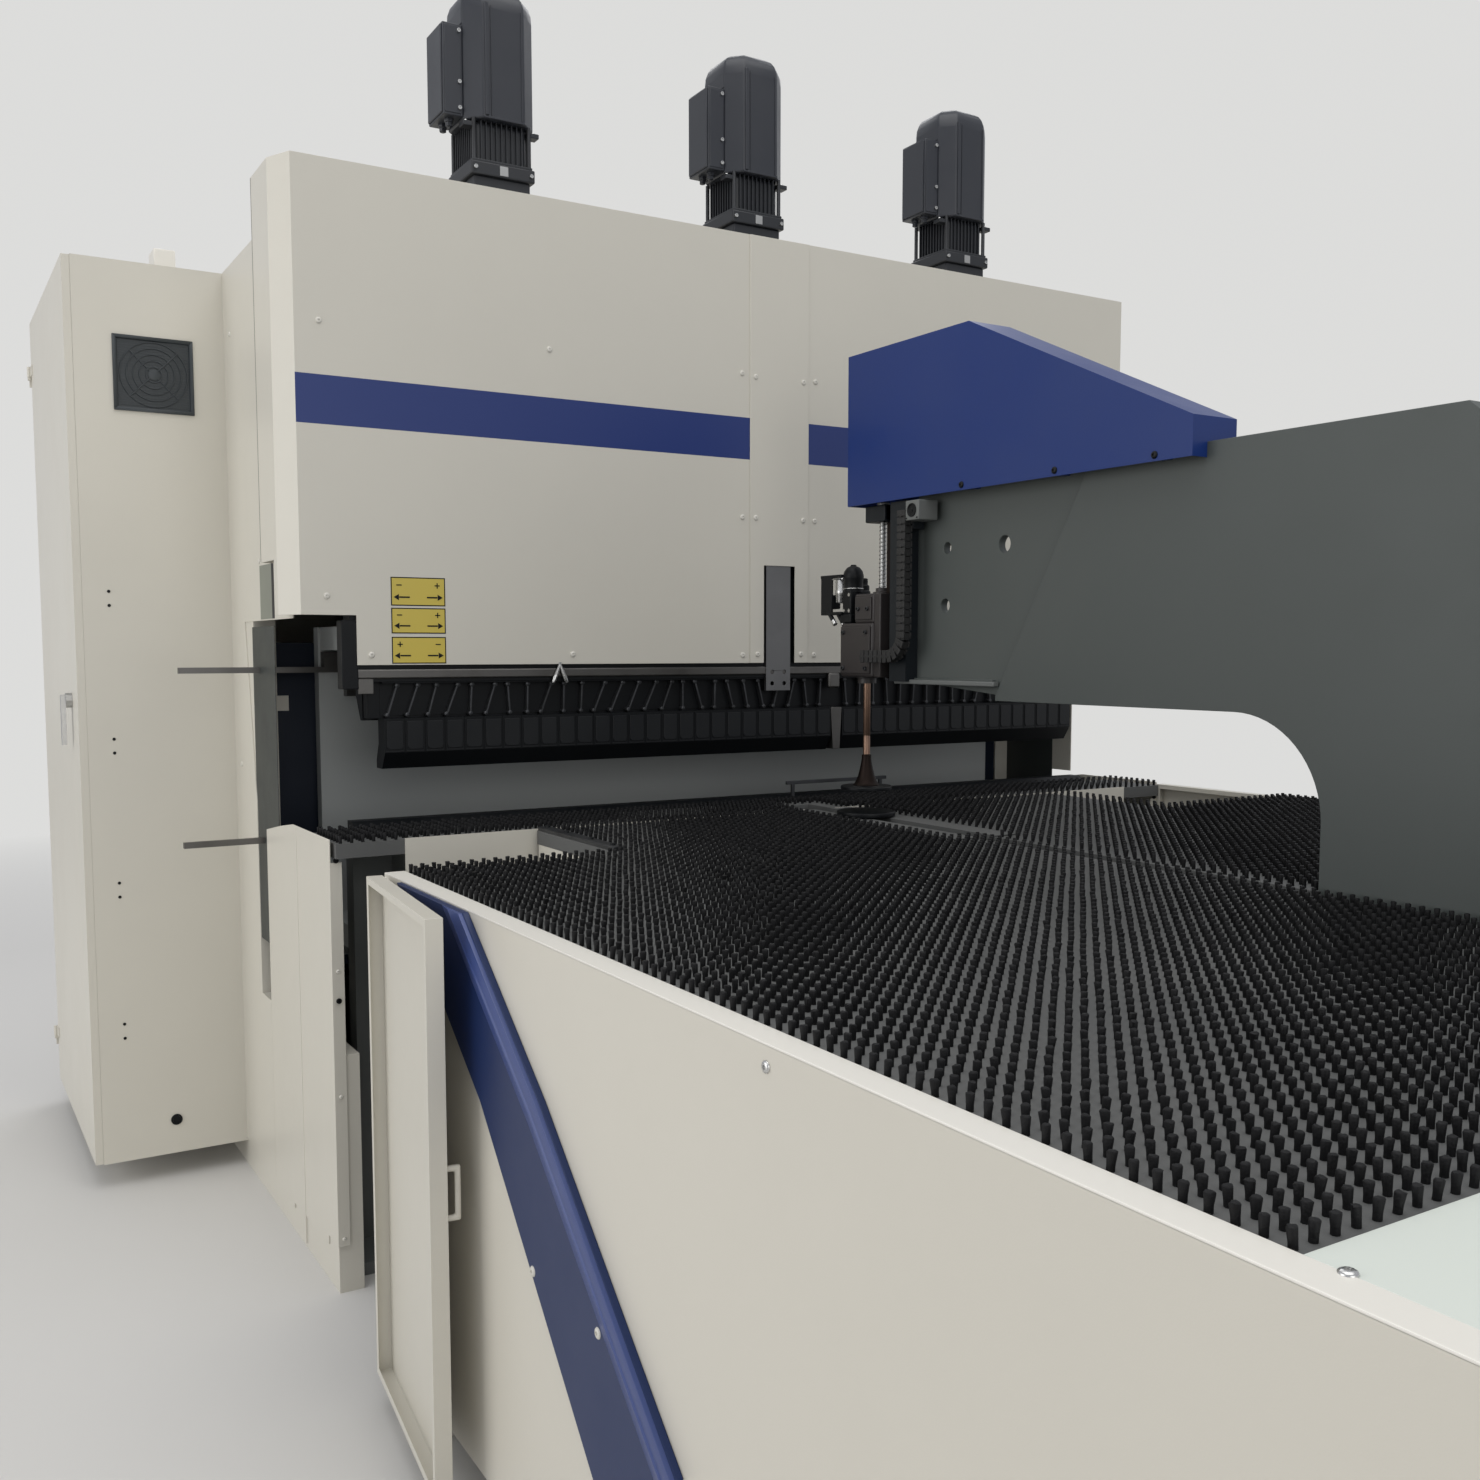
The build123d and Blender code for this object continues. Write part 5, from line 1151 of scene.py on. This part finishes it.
pressFoot = {
    "axis": (0, -0.486), "rodZ": 1.18, "bellZ": 1.1155, "padZ": 1.106,
    "rod": [(0.009, 0), (0.009, 0.06), (0.0084, 0.061), (0.0084, 0.064), (0.009, 0.065), (0.009, 0.238)],
    "bell": [
        (0.034, 0), (0.034, 0.003), (0.031, 0.005), (0.0265, 0.012), (0.0215, 0.025), (0.017, 0.042),
        (0.0138, 0.058), (0.0122, 0.071), (0.0122, 0.078), (0.0095, 0.08),
    ],
    "pad": [
        (0.064, 0), (0.066, 0.0015), (0.066, 0.007), (0.064, 0.009), (0.04, 0.0092), (0.038, 0.0105),
    ],
}
pressRod = turned("rodTurned", (*pressFoot["axis"], pressFoot["rodZ"]), up, pressFoot["rod"])
finished("pressRod", [pressRod], "copperRod", "press_foot")
bell = turned("bellTurned", (*pressFoot["axis"], pressFoot["bellZ"]), up, pressFoot["bell"], 32)
finished("pressBell", [bell], "bellBrown", "press_foot")
pad = turned("padTurned", (*pressFoot["axis"], pressFoot["padZ"]), up, pressFoot["pad"], 40)
finished("pressPad", [pad], "toolBlack", "press_foot", ["press_foot"])
print("manipulator dressed")


# lower panels, braces, painted shade behind the notch and along the cover's rear edge, table screws, rail
# caps, edge bar and throat

panel = {"foldY": 0.023, "flangeX": 1.297, "latchZ": [0.995, 0.678], "screwZ": [0.745, 0.458, 0.128]}
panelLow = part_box("lower_panel_left")[0]
x, y = abs(panelLow.x), panel["foldY"]
folds = mirrored("fold", (x - 0.0012, y - 0.0015, 0.012), (x + 0.0012, y + 0.0015, 1.038), 0.0006)
finished("panelFolds", folds, "panelWhite", "machine")
places = bothSides([(panel["flangeX"], z) for z in panel["latchZ"]], "y", panelLow.y)
fixAll("panelLatches", fastener(capRings, 0.0062, 0.0045), places, "toolBlack", "machine")
places = bothSides([(panel["flangeX"], z) for z in panel["screwZ"]], "y", panelLow.y)
fixAll("panelScrews", fastener(domeRings, 0.0048, 0.0032), places, "screwPaint", "machine")

# the braces' rivets, and the flange folded back along each front edge: its creases as (y, z)
# from the panel to the edge, and the section round them as crease and height
brace = {
    "x": 1.344, "rivets": [(-1.479, 0.539), (-1.702, 0.54)],
    "root": [(-1.0985, 1.032), (-1.4665, 0.7568), (-1.8614, 0.413)],
    "bend": [(-1.147, 1.0322), (-1.485, 0.7785), (-1.889, 0.4285)],
    "step": [(-1.153, 1.0323), (-1.488, 0.782), (-1.8925, 0.43)],
    "edge": [(-1.199, 1.0325), (-1.505, 0.804), (-1.918, 0.444)],
    "section": [
        ("root", 0.0004), ("bend", 0.007), ("step", 0.005), ("edge", 0.0075), ("edge", -0.004),
        ("root", -0.004),
    ],
}
places = bothSides(brace["rivets"], "x", brace["x"])
fixAll("braceRivets", fastener(domeRings, 0.0085, 0.004), places, "screwPaint", "machine")


def braceFlange(side):
    section = brace["section"]
    stations = len(brace["root"])
    points = [(side * (brace["x"] + high), y, z) for crease, high in section for y, z in brace[crease]]
    faces = []
    for i in range(len(section)):
        here, after = i * stations, (i + 1) % len(section) * stations
        faces += [(here + j, here + j + 1, after + j + 1, after + j) for j in range(stations - 1)]
    for end in (0, stations - 1):
        faces.append([i * stations + end for i in range(len(section))])
    mesh = bpy.data.meshes.new("flange")
    mesh.from_pydata(points, [], faces)
    piece = bpy.data.objects.new("flange", mesh)
    bpy.context.collection.objects.link(piece)
    unifyNormals(piece)
    softenEdges(piece, 0.0006)
    smoothShade(piece, 30)
    return piece


# the flange is folded in the geometry, and its lighter blue is a painted highlight along the fold
finished("braceFolds", [braceFlange(side) for side in (-1, 1)], "foldBlueLit", "machine")

# painted shade on the side cover, seen through the cover's notch: a dark green sheet for its shaded surface
# and a black slit for the darkest shade; then a grey strip along the cover's rear edge, a painted shadow
notchShade = {"slitShadeY": (0.178, 0.2), "y": (0.2, 0.325), "z": (1.538, 1.673), "proud": 0.0008}
z0, z1 = notchShade["z"]
for name, span, finish in (("notchShadeSheet", "y", "notchShadeGreen"), ("notchShadowSlit", "slitShadeY", "plasticBlack")):
    y0, y1 = notchShade[span]
    plate = block("plate", (-sideX - notchShade["proud"], y0, z0), (0.001 - sideX, y1, z1))
    finished(name, [plate], finish, "machine")
# painted shadow: a grey strip along each cover side's rear edge stands for the shade in the gap there
coverLow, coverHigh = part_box("upper_cover_left")
x = abs(coverLow.x)
edgeShades = mirrored("seam", (x - 0.0004, 0.1585, z1), (x + 0.0004, 0.1622, coverHigh.z - 0.001))
finished("coverEdgeShades", edgeShades, "edgeShadeGrey", "machine")

tableScrews = {"sideY": [-1.1, -2.106, -2.95], "sideZ": 1.011, "topX": 1.293, "topY": [-2.782, -3.12]}
tableLow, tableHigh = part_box("table_side_left")
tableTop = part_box("front_plate")[1].z
places = bothSides([(y, tableScrews["sideZ"]) for y in tableScrews["sideY"]], "x", abs(tableLow.x))
places += [((s * tableScrews["topX"], y, tableTop), up) for s in (-1, 1) for y in tableScrews["topY"]]
fixAll("tableScrews", fastener(domeRings, 0.0075, 0.0036), places, "brightSteel", "machine")
x, y, z = tableHigh
caps = mirrored("cap", (tableLow.x, tableLow.y, z - 0.003), (x, y, z + 0.0008), 0.0012)
finished("railCaps", caps, "capWhite", "machine")

edgeBar = block("bar", (-0.8245, -0.698, 1.0325), (-0.7965, -0.295, 1.0425), 0.0012)
finished("edgeBar", [edgeBar], "leverSteel", "machine")
places = [((-0.811, y, 1.0425), up) for y in (-0.67, -0.56, -0.43, -0.32)]
fixAll("edgeBarScrews", fastener(capRings, 0.006, 0.0045), places, "toolBlack", "machine")
throat = mirrored("throat", (1.3078, 0.2, 0.7), (1.3092, 0.44, 1.52), 0.0005)
finished("throatPlates", throat, "frameGreen", "machine")
print("table and throat dressed")


# floor, light and camera

surroundings = {
    "backdrop": (0.72, 0.72, 0.71, 1), "sky": (0.93, 0.95, 1.0, 1), "skyStrength": 0.58,
    "floor": (0.62, 0.61, 0.59, 1), "floorRough": 0.85, "floorSize": 60, "fadeFrom": 4.5, "fadeTo": 9.0,
}


def mixShaders(tree, share, first, second, output):
    mix = addNode(tree, "MixShader")
    for n, source in enumerate((share, first.outputs[0], second.outputs[0])):
        tree.links.new(source, mix.inputs[n])
    tree.links.new(mix.outputs[0], tree.nodes[output].inputs["Surface"])


def floorFinish(name):
    # takes the object's shadow; far out it fades to the backdrop's colour, for the camera only
    tree, shader = newMaterial(name)
    shader.inputs["Base Color"].default_value = surroundings["floor"]
    shader.inputs["Roughness"].default_value = surroundings["floorRough"]
    reach = addNode(tree, "VectorMath", operation="LENGTH")
    tree.links.new(addNode(tree, "TexCoord").outputs["Object"], reach.inputs[0])
    reaches = {"From Min": surroundings["fadeFrom"], "From Max": surroundings["fadeTo"]}
    fade = addNode(tree, "MapRange", reaches)
    tree.links.new(reach.outputs["Value"], fade.inputs["Value"])
    share = addNode(tree, "Math", operation="MULTIPLY")
    tree.links.new(fade.outputs["Result"], share.inputs[0])
    tree.links.new(addNode(tree, "LightPath").outputs["Is Camera Ray"], share.inputs[1])
    glow = addNode(tree, "Emission", {"Color": surroundings["backdrop"]})
    mixShaders(tree, share.outputs[0], shader, glow, "Material Output")


floorFinish("paleFloor")
dropSelection()
bpy.ops.mesh.primitive_plane_add(size=surroundings["floorSize"], location=(0, 0, 0))
floor = bpy.context.object
floor.name = "floor"
paintPiece(floor, "paleFloor")

world = bpy.data.worlds.new("softSky")
bpy.context.scene.world = world
world.use_nodes = True
tree = world.node_tree
sky = tree.nodes["Background"]
sky.inputs["Color"].default_value = surroundings["sky"]
sky.inputs["Strength"].default_value = surroundings["skyStrength"]
backdrop = addNode(tree, "Background", {"Color": surroundings["backdrop"], "Strength": 1.0})
mixShaders(tree, addNode(tree, "LightPath").outputs["Is Camera Ray"], sky, backdrop, "World Output")

# each lamp: place, aim, size, power and tint
lamps = {
    "roofLight": ((-0.8, -2.4, 7.0), (-0.3, -1.6, 1.0), 6.0, 190, (1.0, 0.99, 0.97)),
    "leftWindow": ((-7.0, 0.4, 2.4), (-1.3, 0.4, 1.3), 5.0, 150, (1.0, 0.99, 0.97)),
    "frontWindow": ((-2.0, -9.0, 2.4), (0, 0, 1.2), 5.0, 120, (1.0, 0.99, 0.96)),
    "rearLight": ((2.5, 5.0, 5.5), (0, 0.5, 1.5), 5.0, 120, (1.0, 1.0, 1.0)),
}
for name, (at, aim, size, power, tint) in lamps.items():
    dropSelection()
    bpy.ops.object.light_add(type="AREA", location=at)
    light = bpy.context.object
    light.name = name
    light.data.size = size
    light.data.energy = power
    light.data.color = tint
    light.rotation_euler = (Vector(aim) - Vector(at)).to_track_quat("-Z", "Y").to_euler()

view = {"at": (-2.125, -3.35, 1.46), "down": 4.71, "turn": -31.37, "lens": 33.88, "shiftY": 0.0169}
dropSelection()
bpy.ops.object.camera_add(location=view["at"])
camera = bpy.context.object
camera.rotation_euler = Euler((math.radians(90 - view["down"]), 0, math.radians(view["turn"])))
camera.data.sensor_width = 36
camera.data.lens = view["lens"]
camera.data.shift_y = view["shiftY"]
camera.data.clip_end = 100
bpy.context.scene.camera = camera
bpy.context.scene.view_settings.view_transform = "Standard"
print("camera and light set")
